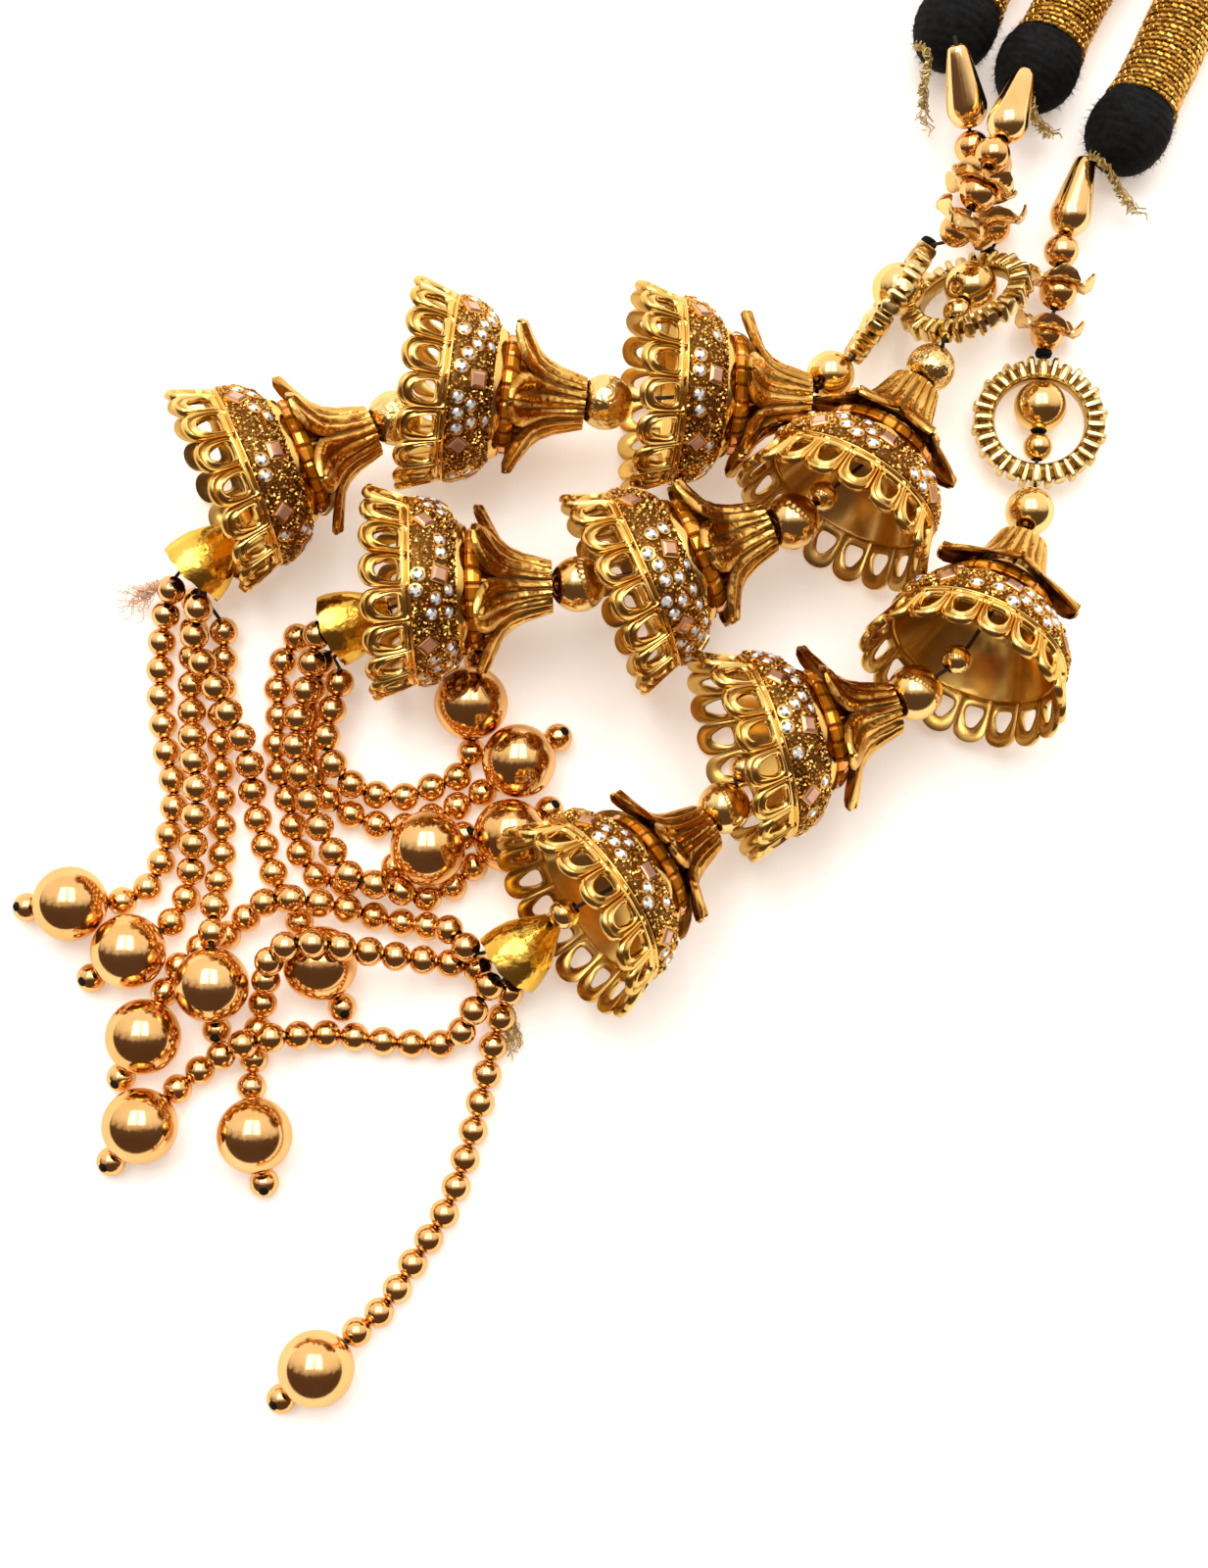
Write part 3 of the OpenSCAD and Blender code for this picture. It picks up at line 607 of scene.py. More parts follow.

# %% [markdown]
# Plated metal isn't one flat colour: it gets painted shade in its hollows, is uneven in tone, and is
# finely scratched. A small class lets such maths be written as Python expressions, and each
# expression adds its own Math nodes.


# %% Shader maths
class Value:
    """One socket of a shader tree, with operators that add Math nodes."""

    def __init__(self, finish, socket):
        self.finish, self.socket = finish, socket

    def math(self, operation, *terms, clamp=False):
        node = self.finish.node("ShaderNodeMath", dict(enumerate(terms)), operation=operation,
                                use_clamp=clamp)
        return Value(self.finish, node.outputs[0])

    def __add__(self, other): return self.math("ADD", self, other)
    def __radd__(self, other): return self.math("ADD", other, self)
    def __sub__(self, other): return self.math("SUBTRACT", self, other)
    def __rsub__(self, other): return self.math("SUBTRACT", other, self)
    def __mul__(self, other): return self.math("MULTIPLY", self, other)
    def __rmul__(self, other): return self.math("MULTIPLY", other, self)
    def above(self, low, high): return self.math("MULTIPLY", self - low, 1 / (high - low), clamp=True)


class Finish:
    """A material's node tree: a Principled shader and the nodes that feed it."""

    def __init__(self, name, **constants):
        self.material = bpy.data.materials.new(name)
        self.material.use_nodes = True
        self.tree = self.material.node_tree
        self.shader = self.tree.nodes["Principled BSDF"]
        for key, value in constants.items():
            self.shader.inputs[key.replace("_", " ")].default_value = value
        self.place = self.node("ShaderNodeTexCoord").outputs["Object"]

    def node(self, kind, values=None, **settings):
        plain = {key: value.socket if isinstance(value, Value) else value
                 for key, value in (values or {}).items()}
        return add_node(self.tree, kind, plain, **settings)

    def noise(self, scale, detail=2):
        node = self.node("ShaderNodeTexNoise", {"Vector": self.place, "Scale": scale, "Detail": detail})
        return Value(self, node.outputs["Fac"])

    def hollows(self):
        """The shade value that every shape carries: painted shade, 1 in its hollows, and a tone on some
        stitches.
        """
        return Value(self, self.node("ShaderNodeAttribute", attribute_name="shade").outputs["Fac"])

    def mix(self, factor, a, b):
        first, second = ((*c, 1) if isinstance(c, tuple) else c for c in (a, b))
        return self.node("ShaderNodeMix", {0: factor, 6: first, 7: second}, data_type="RGBA").outputs[2]

    def set(self, **inputs):
        for key, value in inputs.items():
            socket = value.socket if isinstance(value, Value) else value
            self.tree.links.new(socket, self.shader.inputs[key.replace("_", " ")])
        return self

    def bump(self, height, strength, distance):
        node = self.node("ShaderNodeBump", {"Height": height, "Strength": strength, "Distance": distance})
        return self.set(Normal=node.outputs[0])


GRAIN, SCRATCH, HOLLOW_ROUGHNESS = 900, 0.05, 0.25


def plated(name, bright, dark, painted_hollow_shade, roughness, crinkle=0.0, crumple=900):
    """Plated metal: two close tones, painted shade in its hollows, a grain in its gloss, and pressed
    crinkles.
    """
    finish = Finish(name, Metallic=1.0, Specular_Tint=(*[0.5 + 0.5 * c for c in bright], 1))
    tone = finish.noise(180, 3).above(0.3, 0.7)
    finish.set(Base_Color=finish.mix(finish.hollows(), finish.mix(tone, bright, dark), painted_hollow_shade),
               Roughness=finish.noise(GRAIN) * (2 * SCRATCH) + (roughness - SCRATCH)
               + finish.hollows() * HOLLOW_ROUGHNESS)
    if crinkle:
        finish.bump(finish.noise(crumple), crinkle, 0.35 / crumple)
    else:
        finish.bump(finish.noise(420), 0.12, 0.0001)
    return finish.material


print("plated metal: gloss varies by", SCRATCH, "and is duller by", HOLLOW_ROUGHNESS, "in hollows")

# %% [markdown]
# No two fittings have quite the same gold: the beads are rosy, the rings pale, the stamped sheet of
# the leaves deep and crinkled. So each finish has its own two tones, the colour of the painted shade
# in its hollows, and its gloss. Stones and fibres have a recipe each, because they reflect in other ways.

# %% Materials
# Each plated finish: its two tones, the colour of the painted shade in its hollows, and its gloss.
rose_gold = plated("rose_gold_plate", (0.86, 0.53, 0.225), (0.75, 0.42, 0.145), (0.10, 0.03, 0.008), 0.12)
pale_gold = plated("pale_gold_plate", (0.80, 0.62, 0.29), (0.64, 0.45, 0.16), (0.13, 0.06, 0.01), 0.2)
yellow_gold = plated("yellow_gold_plate", (0.88, 0.63, 0.26), (0.78, 0.50, 0.17), (0.12, 0.04, 0.008), 0.13)
crinkled_gold = plated("crinkled_gold_plate", (0.88, 0.66, 0.29), (0.76, 0.50, 0.17),
                       (0.12, 0.04, 0.008), 0.16, crinkle=0.9)
antique_gold = plated("antique_gold_sheet", (0.92, 0.62, 0.20), (0.78, 0.46, 0.10),
                      (0.12, 0.038, 0.005), 0.15)
leaf_gold = plated("leaf_gold_sheet", (0.92, 0.58, 0.16), (0.50, 0.22, 0.03), (0.075, 0.022, 0.003), 0.16,
                   crinkle=0.5, crumple=420)
bright_gold = plated("bright_gold_sheet", (0.90, 0.61, 0.11), (0.68, 0.37, 0.045),
                     (0.16, 0.055, 0.008), 0.17, crinkle=0.3, crumple=500)
copper_gold = plated("copper_gold_plate", (0.90, 0.62, 0.28), (0.80, 0.49, 0.18), (0.15, 0.05, 0.01), 0.13)
petal_gold = plated("petal_gold_sheet", (0.92, 0.64, 0.28), (0.78, 0.46, 0.16), (0.15, 0.05, 0.01), 0.14,
                    crinkle=0.35, crumple=500)
granule_gold = plated("granulated_gold", (0.88, 0.54, 0.15), (0.56, 0.27, 0.055), (0.08, 0.025, 0.004), 0.22)


def stones(name, bright, dark, metallic, roughness):
    """Foil-backed glass: hard facets, each mixed from a bright and a dark colour by its painted shade, as
    painted reflections.
    """
    finish = Finish(name, Metallic=metallic, Coat_Weight=0.6, Coat_Roughness=0.03)
    finish.set(Base_Color=finish.mix(finish.hollows(), bright, dark),
               Roughness=finish.noise(900, 1) * 0.04 + roughness)
    return finish.material


# The second colour of each stone is the painted reflection in its darker facets.
rhinestone = stones("rhinestone", (1.0, 0.99, 0.98), (0.075, 0.08, 0.095), 0.35, 0.05)
peach_stone = stones("peach_stone", (0.64, 0.34, 0.20), (0.24, 0.09, 0.045), 0.45, 0.08)
amber_glass = stones("amber_glass", (1.0, 0.37, 0.012), (0.36, 0.07, 0.003), 0.6, 0.06)


def fibre(name, bright, dark, roughness, **constants):
    """Thread or tinsel: two tones along its strands, painted shade in its grooves, a darker tone on some
    stitches, and a short soft bump.
    """
    finish = Finish(name, **constants)
    body = finish.mix(finish.noise(700, 3).above(0.35, 0.65), bright, dark)
    finish.set(Base_Color=finish.mix(finish.hollows(), body, tuple(0.3 * c for c in dark)),
               Roughness=finish.noise(1200) * 0.1 + roughness - 0.05)
    return finish.bump(finish.noise(2600, 3), 0.5, 0.0002).material


black_thread = fibre("black_thread", (0.0125, 0.0125, 0.013), (0.006, 0.006, 0.0062), 0.9,
                     Specular_IOR_Level=0.12)
brown_thread = fibre("brown_thread", (0.06, 0.03, 0.012), (0.02, 0.01, 0.004), 0.7)
tinsel = fibre("tinsel_cord", (0.96, 0.57, 0.11), (0.70, 0.34, 0.04), 0.26, Metallic=0.9)
tinsel_core = fibre("tinsel_core", (0.36, 0.16, 0.02), (0.17, 0.06, 0.006), 0.55, Metallic=0.5)
pale_tinsel = fibre("pale_tinsel", (0.92, 0.72, 0.28), (0.42, 0.30, 0.09), 0.3, Metallic=0.8)
nylon = fibre("nylon_fibre", (0.90, 0.62, 0.42), (0.76, 0.46, 0.28), 0.5)
print("materials:", len(bpy.data.materials))

# %% [markdown]
# The tassel's beads are spun balls with a drilled hole, plated a rosy copper gold. A plain sphere
# would have no hole for the thread, so a profile with its bore is turned. One small bead and one
# large bead are made, and the point tree sets them on the stops of each string.


# %% Tassel beads
def drilled_bead(diameter, bore, around, along):
    """A ball with a hole, with painted shade inside its bore."""
    r, b = diameter / 2, bore / 2
    low = math.asin(b / r)
    arc = [(low + (math.pi - 2 * low) * k / along) for k in range(along + 1)]
    profile = [(r * math.sin(a), r * math.cos(a)) for a in arc]
    depth = profile[0][1]
    profile += [(b * 0.98, -depth * 0.7), (b * 0.98, depth * 0.7)]
    # Painted shade on the wall of the bore.
    return outward(revolve(profile, around, [0] * (along + 1) + [1, 1]))


END_TIP = 1.6


def end_aim(stops):
    """The last bead of a string lies with its hole tipped up."""
    return unit(unit(stops[-1][0] - stops[-2][0]) + [0, 0, END_TIP])


small_bead = drilled_bead(BEAD + 0.2, BORE, 24, 11)
large_bead = drilled_bead(WEIGHT, BORE + 0.2, 44, 22)
for s in range(3):
    for k, row in enumerate(STRINGS[s]):
        stops = tassel_stops(s, k)
        where = [stop[0] for stop in stops]
        aims = [direction(where, i) for i in range(len(where) - 1)] + [end_aim(stops)]
        groups = []
        for unit_bead, big in ((small_bead, False), (large_bead, True)):
            picked = [i for i, stop in enumerate(stops) if stop[1] == "string" and (stop[2] == WEIGHT) == big]
            groups.append(set_on_points("beads", unit_bead, [where[i] for i in picked],
                                        [aims[i] for i in picked]))
        place = "%s%d" % (STRANDS[s], k + 1)
        piece("tassel_beads_" + place, joined(groups), rose_gold, "rose_gold_plate", ["string_" + place])

# %% [markdown]
# A bell's mouth is a row of eighteen looped arches, like bent wire round a three-sided opening.
# Cutting openings in a cone would leave flat sharp edges. So one arch is drawn flat, as rings of
# points between its outline and its opening, each ring at its own height. It is then wrapped on the
# cone and repeated round the axis.

# %% One arch of the bell
SCALLOPS = 18
ARCH_HALF = 2.3
CONE = unit(np.array([6.1, 2.2]))
ARCH_OUTLINE = [(0, 0), (0.85, 0.1), (1.45, 0.4), (1.92, 0.85), (2.18, 1.4), (2.28, 2), (2.28, 6.35),
                (0, 6.35)]
ARCH_OPENING = [(0, 1.85), (0.55, 2.05), (0.98, 2.8), (1.36, 3.65), (1.36, 4.3), (1.05, 4.68), (0, 4.74)]
ARCH_CENTRE = (0, 3.5)
# The share of the way from outline to opening, the height over the cone, and how much painted shade it gets.
ARCH_RINGS = [(0, -0.3, 0.45), (0, 0.05, 0.3), (0.06, 0.4, 0.05), (0.19, 0.58, 0), (0.32, 0.46, 0.05),
              (0.43, 0.18, 0.6), (0.53, 0.2, 0.5), (0.65, 0.48, 0), (0.8, 0.54, 0), (0.92, 0.36, 0.05),
              (1, 0.02, 0.3), (1, -0.3, 0.5), (0.75, -0.45, 0.35), (0.25, -0.45, 0.35)]


def ray_to(polygon, centre, angle):
    """How far a polygon's edge is from a point inside it, in one direction."""
    d = (math.cos(angle), math.sin(angle))
    best = 0
    for i in range(len(polygon)):
        (x1, y1), (x2, y2) = polygon[i], polygon[(i + 1) % len(polygon)]
        ex, ey, ox, oy = x2 - x1, y2 - y1, x1 - centre[0], y1 - centre[1]
        cross = d[0] * ey - d[1] * ex
        if abs(cross) < 1e-9:
            continue
        t, u = (ox * ey - oy * ex) / cross, (ox * d[1] - oy * d[0]) / cross
        if t > 0 and -1e-6 <= u <= 1 + 1e-6:
            best = max(best, t)
    return best


def mirrored(half):
    return half + [(-x, y) for x, y in reversed(half) if x > 0]


def bell_radius(t):
    """The outer radius of a bell's scallops at a distance from the mouth."""
    return np.interp(t, [0, 3.2, 6.1], [13.9, 12.7, 11.7])


def bell_arch(steps=40):
    outline = mirrored(ARCH_OUTLINE)
    opening = rounded(mirrored(ARCH_OPENING))
    v, w = [], []
    for k in range(steps):
        a = part_turn(k, steps)
        far, near = ray_to(outline, ARCH_CENTRE, a), ray_to(opening, ARCH_CENTRE, a)
        for share, height, shade in ARCH_RINGS:
            reach = far + (near - far) * share
            x, t = ARCH_CENTRE[0] + reach * math.cos(a), ARCH_CENTRE[1] + reach * math.sin(a)
            phi = x / ARCH_HALF * math.pi / SCALLOPS
            r = bell_radius(t) + height * CONE[0]
            v.append(polar(r, phi, t + height * CONE[1]))
            w.append(shade)
    return outward(Shape(v, flipped(lattice(steps, len(ARCH_RINGS), rows_close=True)), w))


skirt = round_axis("bell_skirt", bell_arch(), SCALLOPS)

# %% [markdown]
# Behind the arches the bell is a thin dome with a hole for its thread. One closed profile, outside
# and inside, is turned for it, with painted shade inside. Two hoops cover the line where arches and band
# meet.

# %% The bell's wall, ridge and dome
WALL = [(11.75, 5.7), (11.7, 6.2), (8.5, 11.7), (8.8, 11.9), (8.7, 12.4), (8.35, 13), (8.05, 13.2),
        (7, 13.25), (6.3, 15.4), (5.6, 16.6), (4.4, 17.8), (2.6, 18.3), (0.8, 18.4), (0.8, 17.8), (2.6, 17.7),
        (4, 17.2), (5, 16.2), (5.7, 15.2), (6.4, 13.1), (7.4, 12), (11.1, 6), (11.2, 5.7)]
# Painted shade: a little on the wall's lower edge and on the inside of the dome.
bell_wall = outward(revolve(WALL, 96, [0.1, 0.1] + [0] * 11 + [0.12] * 9))


def hoop(radius, height, wide, tall, sides=10):
    """A smooth oval bar round the axis."""
    turns = [part_turn(k, sides) for k in range(sides)]
    return outward(revolve([(radius + wide * math.cos(a), height + tall * math.sin(a)) for a in turns], 108))


ridge = joined([hoop(12.1, 5.32, 0.42, 0.5), hoop(12.12, 6.2, 0.28, 0.2)])
bell = joined([skirt, bell_wall, ridge])
for s in range(3):
    for i, row in enumerate(BELLS[s]):
        place = "%s%d" % (STRANDS[s], i + 1)
        piece("pierced_bell_" + place, on_bell(bell, row), antique_gold, "antique_gold_sheet",
              ["bell_" + place], crease=50)

# %% [markdown]
# Above the arches a band of brown-gold granules carries eight square peach stones in two staggered
# rows, and white rhinestones in small groups, each stone in its own low cup. The granules are strewn
# over the band. A seeded draw places the rhinestones: most are tried beside one that is already set,
# and none is kept that comes too near another stone.

# %% Gem band
BAND = [(11.95, 6.2), (12.3, 6.6), (12.2, 7.6), (11.6, 9.1), (10.4, 10.8), (8.9, 11.9), (8.25, 11.9)]
# Painted shade on the band itself, for the shadow among its granules.
band_core = outward(revolve(BAND, 96, [0.9] * len(BAND)))


def outside(face):
    """Whether a face of the band is on its outer side, where the granules lie."""
    x, y, z = np.array([band_core.v[i] for i in face]).T
    return np.mean(np.hypot(x, y)) > np.interp(np.mean(z), [6.2, 11.9], [12.1, 8.2])


band_outside = Shape(band_core.v, [face for face in band_core.f if outside(face)])
granule = outward(Shape([(1, 0, -0.3), (0, 1, -0.3), (-1, 0, -0.3), (0, -1, -0.3), (0.1, 0, 0.9)],
                        [(0, 1, 4), (1, 2, 4), (2, 3, 4), (3, 0, 4), (3, 2, 1, 0)]))


# Painted reflections: how dark each crown facet is painted, in turn round the stone.
FACET_SHADES = (1, 0, 0.15, 0.8, 0, 0.9, 0.1, 0.4)


def cut_stone(sides, girdle, table, height, spin=0.0):
    """A faceted stone: girdle, crown and table, every facet with its own painted shade, as painted
    reflections.
    """
    tiers = [(girdle, -0.25), (girdle, 0.12), ((girdle + table) / 2, height * 0.7), (table, height)]
    v, f, w = [], [], []

    def facet(corners, value):
        n = len(v)
        v.extend(corners)
        w.extend([value] * len(corners))
        f.append(tuple(range(n, n + len(corners))))

    def corner(tier, k):
        r, z = tiers[tier]
        return polar(r, spin + part_turn(k, sides), z)

    for k in range(sides):
        for tier in range(3):
            facet([corner(tier, k), corner(tier, k + 1), corner(tier + 1, k + 1), corner(tier + 1, k)],
                  FACET_SHADES[(k + 3 * tier) % 8] if tier else 0.5)
    facet([corner(3, k) for k in range(sides)], 0.05)
    facet([corner(0, k) for k in reversed(range(sides))], 0.5)
    return Shape(v, f, w)


def cup(radius, sides):
    """The low wall of gold that holds a stone."""
    return outward(revolve([(radius, -0.3), (radius + 0.22, -0.3), (radius + 0.2, 0.22), (radius, 0.26)],
                           sides))


round_stone = cut_stone(8, 0.88, 0.4, 0.42)
square_stone = cut_stone(4, 1.62, 1.0, 0.5, math.pi / 4)
round_cup = cup(0.8, 12)
square_cup = cup(1.5, 4).placed(turn("Z", 45))


def on_band(phi, t):
    """A place on the gem band and the way out of it."""
    heights, radii = [7.2, 7.6, 9.1, 10.8, 11.5], [12.25, 12.2, 11.6, 10.4, 9.4]
    r = np.interp(t, heights, radii)
    slope = (np.interp(t + 0.3, heights, radii) - np.interp(t - 0.3, heights, radii)) / 0.6
    n = unit(np.array([1, -slope]))
    return np.array(polar(r, phi, t)), np.array(polar(n[0], phi, n[1]))


SQUARES, SQUARE_ROWS, MOST_ROUNDS, TRIES = 8, (9.9, 8.1), 38, 1500
SQUARE_GAP, ROUND_GAP, IN_GROUPS = 2.25, 1.84, 0.7
LONE_ROWS, GROUP_ROWS, BESIDE_TURN, BESIDE_RISE = (7.1, 11.1), (7, 11.2), 0.17, 1.85


def stone_places(seed):
    """Square stones in two staggered rows, then round ones in groups wherever there is room."""
    draw = random.Random(seed)
    squares = [((k + 0.25 * draw.random()) * 2 * math.pi / SQUARES, SQUARE_ROWS[k % 2])
               for k in range(SQUARES)]
    rounds = []
    for _ in range(TRIES):
        phi, t = draw.uniform(0, 2 * math.pi), draw.uniform(*LONE_ROWS)
        if rounds and draw.random() < IN_GROUPS:
            beside, way = draw.choice(rounds), draw.uniform(0, 2 * math.pi)
            phi = beside[0] + BESIDE_TURN * math.cos(way)
            t = min(GROUP_ROWS[1], max(GROUP_ROWS[0], beside[1] + BESIDE_RISE * math.sin(way)))
        at = on_band(phi, t)[0]
        near_square = min(np.linalg.norm(at - on_band(*p)[0]) for p in squares)
        near_round = min([9] + [np.linalg.norm(at - on_band(*p)[0]) for p in rounds])
        if near_square > SQUARE_GAP and near_round > ROUND_GAP and len(rounds) < MOST_ROUNDS:
            rounds.append((phi, t))
    return squares, rounds


GRAIN_SPACING, SMALLEST_GRAIN, LARGEST_GRAIN, GRAIN_LEAN = 0.36, 0.2, 0.36, 0.7
for s in range(3):
    bands, rounds_set, squares_set = [], [], []
    for i, row in enumerate(BELLS[s]):
        seed = 10 * s + i + 1
        squares, rounds = stone_places(seed)
        grains = strew("granules", band_outside, granule, GRAIN_SPACING, SMALLEST_GRAIN, LARGEST_GRAIN,
                       GRAIN_LEAN, seed)
        parts = [band_core, grains]
        for group, stone, holder, into in ((squares, square_stone, square_cup, squares_set),
                                           (rounds, round_stone, round_cup, rounds_set)):
            spots, outs = zip(*[on_band(*p) for p in group])
            draw = random.Random(seed)
            twists = [draw.uniform(-0.3, 0.3) for _ in group]
            parts.append(set_on_points("cups", holder, spots, outs, twists=twists))
            into.append(on_bell(set_on_points("stones", stone, spots, outs, twists=twists), row))
        bands.append(on_bell(joined(parts), row))
    c = STRANDS[s]
    piece("granulated_bands_" + c, joined(bands), granule_gold, "gem_band", ["gem_bands_" + c])
    piece("rhinestones_" + c, joined(rounds_set), rhinestone, "gem_band", crease=5)
    piece("peach_stones_" + c, joined(squares_set), peach_stone, "gem_band", crease=5)

# %% [markdown]
# A ring of amber-coloured glass baguettes closes the band, under the leaves. Each is a block with
# a bevelled face, leaning in with the dome. One is drawn to fill its share of a turn, so that the
# round tree can repeat it with even joints.


# %% Amber band
BAGUETTES, BLOCK, FACE, BEVEL = 22, 0.98, 0.62, 0.22


def baguette():
    """One block of glass: rows of its face from low to high, with a bevel at each side."""
    half = math.pi / BAGUETTES
    v, f, w = [], [], []
    rows = [(13.2, 7.15, 7.8), (13.45, 7.15, 8.05), (14.15, 6.95, 8.0), (14.85, 6.7, 7.5), (15.15, 6.65, 7.1)]
    for j, (z, inner, outer) in enumerate(rows):
        for share in (-BLOCK, -FACE, FACE, BLOCK):
            side = abs(share) == BLOCK
            v.append(polar(outer - (BEVEL if side else 0), share * half, z))
            # Painted shade on the face: dark bevels and end rows, a little on the rows beside the middle one.
            w.append(0.9 if side or j in (0, 4) else (0.0 if j == 2 else 0.3))
    n = len(v)
    for j, (z, inner, outer) in enumerate(rows):
        for share in (-BLOCK, BLOCK):
            v.append(polar(inner, share * half, z))
            # Painted shade on the block's inner side.
            w.append(1)
    for j in range(4):
        for k in range(3):
            a = j * 4 + k
            f.append((a, a + 1, a + 5, a + 4))
        f.append((n + 2 * j, n + 2 * j + 1, n + 2 * j + 3, n + 2 * j + 2))
        f.append((j * 4, j * 4 + 4, n + 2 * j + 2, n + 2 * j))
        f.append((j * 4 + 3, j * 4 + 7, n + 2 * j + 3, n + 2 * j + 1))
    f.append((0, 1, 2, 3, n + 1, n))
    f.append((16, 17, 18, 19, n + 9, n + 8))
    return outward(Shape(v, f, w))


amber_ring = round_axis("amber_ring", baguette(), BAGUETTES)
for s in range(3):
    piece("baguettes_" + STRANDS[s], joined([on_bell(amber_ring, row) for row in BELLS[s]]), amber_glass,
          "amber_glass", ["amber_bands_" + STRANDS[s]], crease=15)

# %% [markdown]
# Over each bell sits a trumpet of thin pressed sheet: a fluted neck that opens into six pointed
# leaves with curled tips. A solid block could not curl so thinly. One leaf is drawn as a surface and
# repeated, its edges are merged, and the sheet's thickness is laid to each side of it.


# %% Pressed sheet
def thickened(shape, out, inside, inner_shade=0.6):
    """A closed sheet from a surface, with its own thickness to each side and painted shade on its inner side.
    """
    v = shape.v
    normals = np.zeros_like(v)
    for face in shape.f:
        p = v[list(face)]
        n = np.cross(p[1] - p[0], p[2] - p[0]) + (np.cross(p[2] - p[0], p[3] - p[0]) if len(face) > 3 else 0)
        normals[list(face)] += n
    lengths = np.linalg.norm(normals, axis=1)
    normals /= np.where(lengths > 0, lengths, 1)[:, None]
    n = len(v)
    edges = dict.fromkeys(edge for face in shape.f for edge in zip(face, face[1:] + face[:1]))
    rim = [(a, b) for a, b in edges if (b, a) not in edges]
    faces = list(shape.f) + [tuple(n + i for i in reversed(face)) for face in shape.f]
    faces += [(b, a, n + a, n + b) for a, b in rim]
    inner = np.maximum(shape.shade, inner_shade)
    return Shape(np.concatenate([v + normals * out, v - normals * inside]), faces,
                 np.concatenate([shape.shade, inner]))


LEAF_RIDGE = [(3.3, 24.1), (3.35, 23.3), (3.7, 22.2), (4.2, 20.4), (5.1, 18.6), (6.3, 17.35), (7.7, 16.55),
              (9.0, 15.85), (10.1, 15.3), (10.9, 14.9), (11.2, 14.85)]
LEAF_WIDTH = [1, 1, 1, 1, 1, 1, 0.92, 0.72, 0.48, 0.22, 0.05]
LEAVES, MERGE = 6, 0.02


def leaf(columns=24):
    """A sixth of the trumpet: one leaf and its part of the fluted neck."""
    half = math.pi / LEAVES
    v, w = [], []
    for j, (r, z) in enumerate(LEAF_RIDGE):
        along = min(1, max(0, (r - 5.5) / 5))
        for k in range(columns + 1):
            share = 2 * k / columns - 1
            phi = share * half * LEAF_WIDTH[j]
            groove = math.cos((3 * share + 0.18 * math.sin(j + 5 * share)) * math.pi)
            flute = (0.2 - 0.08 * along) * groove * (1 if 0 < j < 10 else 0)
            curl = 0.75 * share * share - 0.25 * math.cos(math.pi * share) * (1 - abs(share))
            lift = along * curl - flute * along
            v.append(polar(r + flute, phi, z - lift))
            # Painted shade in the grooves of the flutes, and a little darker along the middle of each leaf.
            painted_hollow_shade = max(0, -groove) * (0.8 - 0.3 * along) if j > 0 else 0
            w.append(painted_hollow_shade + (0.15 if abs(share) < 0.1 and along > 0.2 else 0))
    return Shape(v, flipped(lattice(len(LEAF_RIDGE), columns + 1, columns_close=False)), w)


def outwardness(shape, face):
    """Above 0 where a face of a trumpet looks away from its axis."""
    a, b, c = (shape.v[i] for i in face[:3])
    return np.dot(np.cross(b - a, c - a), [a[0], a[1], 3])


leaf_sheet = outward(round_axis("leaf_cap", leaf(), LEAVES), merge=MERGE)
if np.mean([outwardness(leaf_sheet, face) for face in leaf_sheet.f]) < 0:
    leaf_sheet.f = [tuple(reversed(face)) for face in leaf_sheet.f]
leaf_cap = thickened(leaf_sheet, 0.2, 0.16)
for s in range(3):
    c = STRANDS[s]
    piece("leaf_sheets_" + c, joined([on_bell(leaf_cap, row, row[5]) for row in BELLS[s]]), leaf_gold,
          "leaf_gold_sheet", ["leaf_caps_" + c], crease=55)

# %% [markdown]
# Between the bells, and inside the rings, plain balls of gold are threaded. Most are mirror bright,
# and some have a crinkled skin. The crinkles are too fine and shallow for a mesh of a ball this size,
# so the finish carries them as bump.

# %% Beads of the strands
WIDE_LINK = 6.6
# Which of a strand's wide balls have the crinkled skin, counted from its ring.
CRINKLED = [(2, 3), (1,), ()]
link_balls = {d: drilled_bead(d, BORE + 0.3, 36, 18) for d in (4, 6.6, 7, 7.2, 7.4)}
collar_balls = {d: drilled_bead(d, BORE + 0.1, 32, 16) for d in (4.6, 4.8, 5.2)}
for s in range(3):
    stops = strand_stops(s)
    where = [stop[0] for stop in stops]
    links = [i for i, stop in enumerate(stops) if stop[1] == "link"]
    wide_links = [i for i in links if stops[i][2] >= WIDE_LINK]
    rough = [wide_links[n] for n in CRINKLED[s]]
    for name, chosen, metal in (("mirror_balls_", [i for i in links if i not in rough], yellow_gold),
                                ("crinkled_balls_", rough, crinkled_gold)):
        if not chosen:
            continue
        beads = [link_balls[stops[i][2]].placed(aimed_along(direction(where, i)), where[i]) for i in chosen]
        piece(name + STRANDS[s], joined(beads), metal, "yellow_gold_plate",
              ["strand_beads_" + STRANDS[s]] if name == "mirror_balls_" else [])
    beads = [collar_balls[stop[2]].placed(aimed_along(direction(where, i)), where[i])
             for i, stop in enumerate(stops) if stop[1] in ("plain", "capped")]
    piece("collar_balls_" + STRANDS[s], joined(beads), rose_gold, "rose_gold_plate",
          ["collar_beads_" + STRANDS[s]])

# %% [markdown]
# The rings are flat castings in pale gold: wide bars that alternate with narrow ones, whose rounded
# ends stand out past the rim. A bar is the same section at five distances from the axis. One pair of
# bars is repeated over a thin turned core, which gets painted shade where the bars meet it.


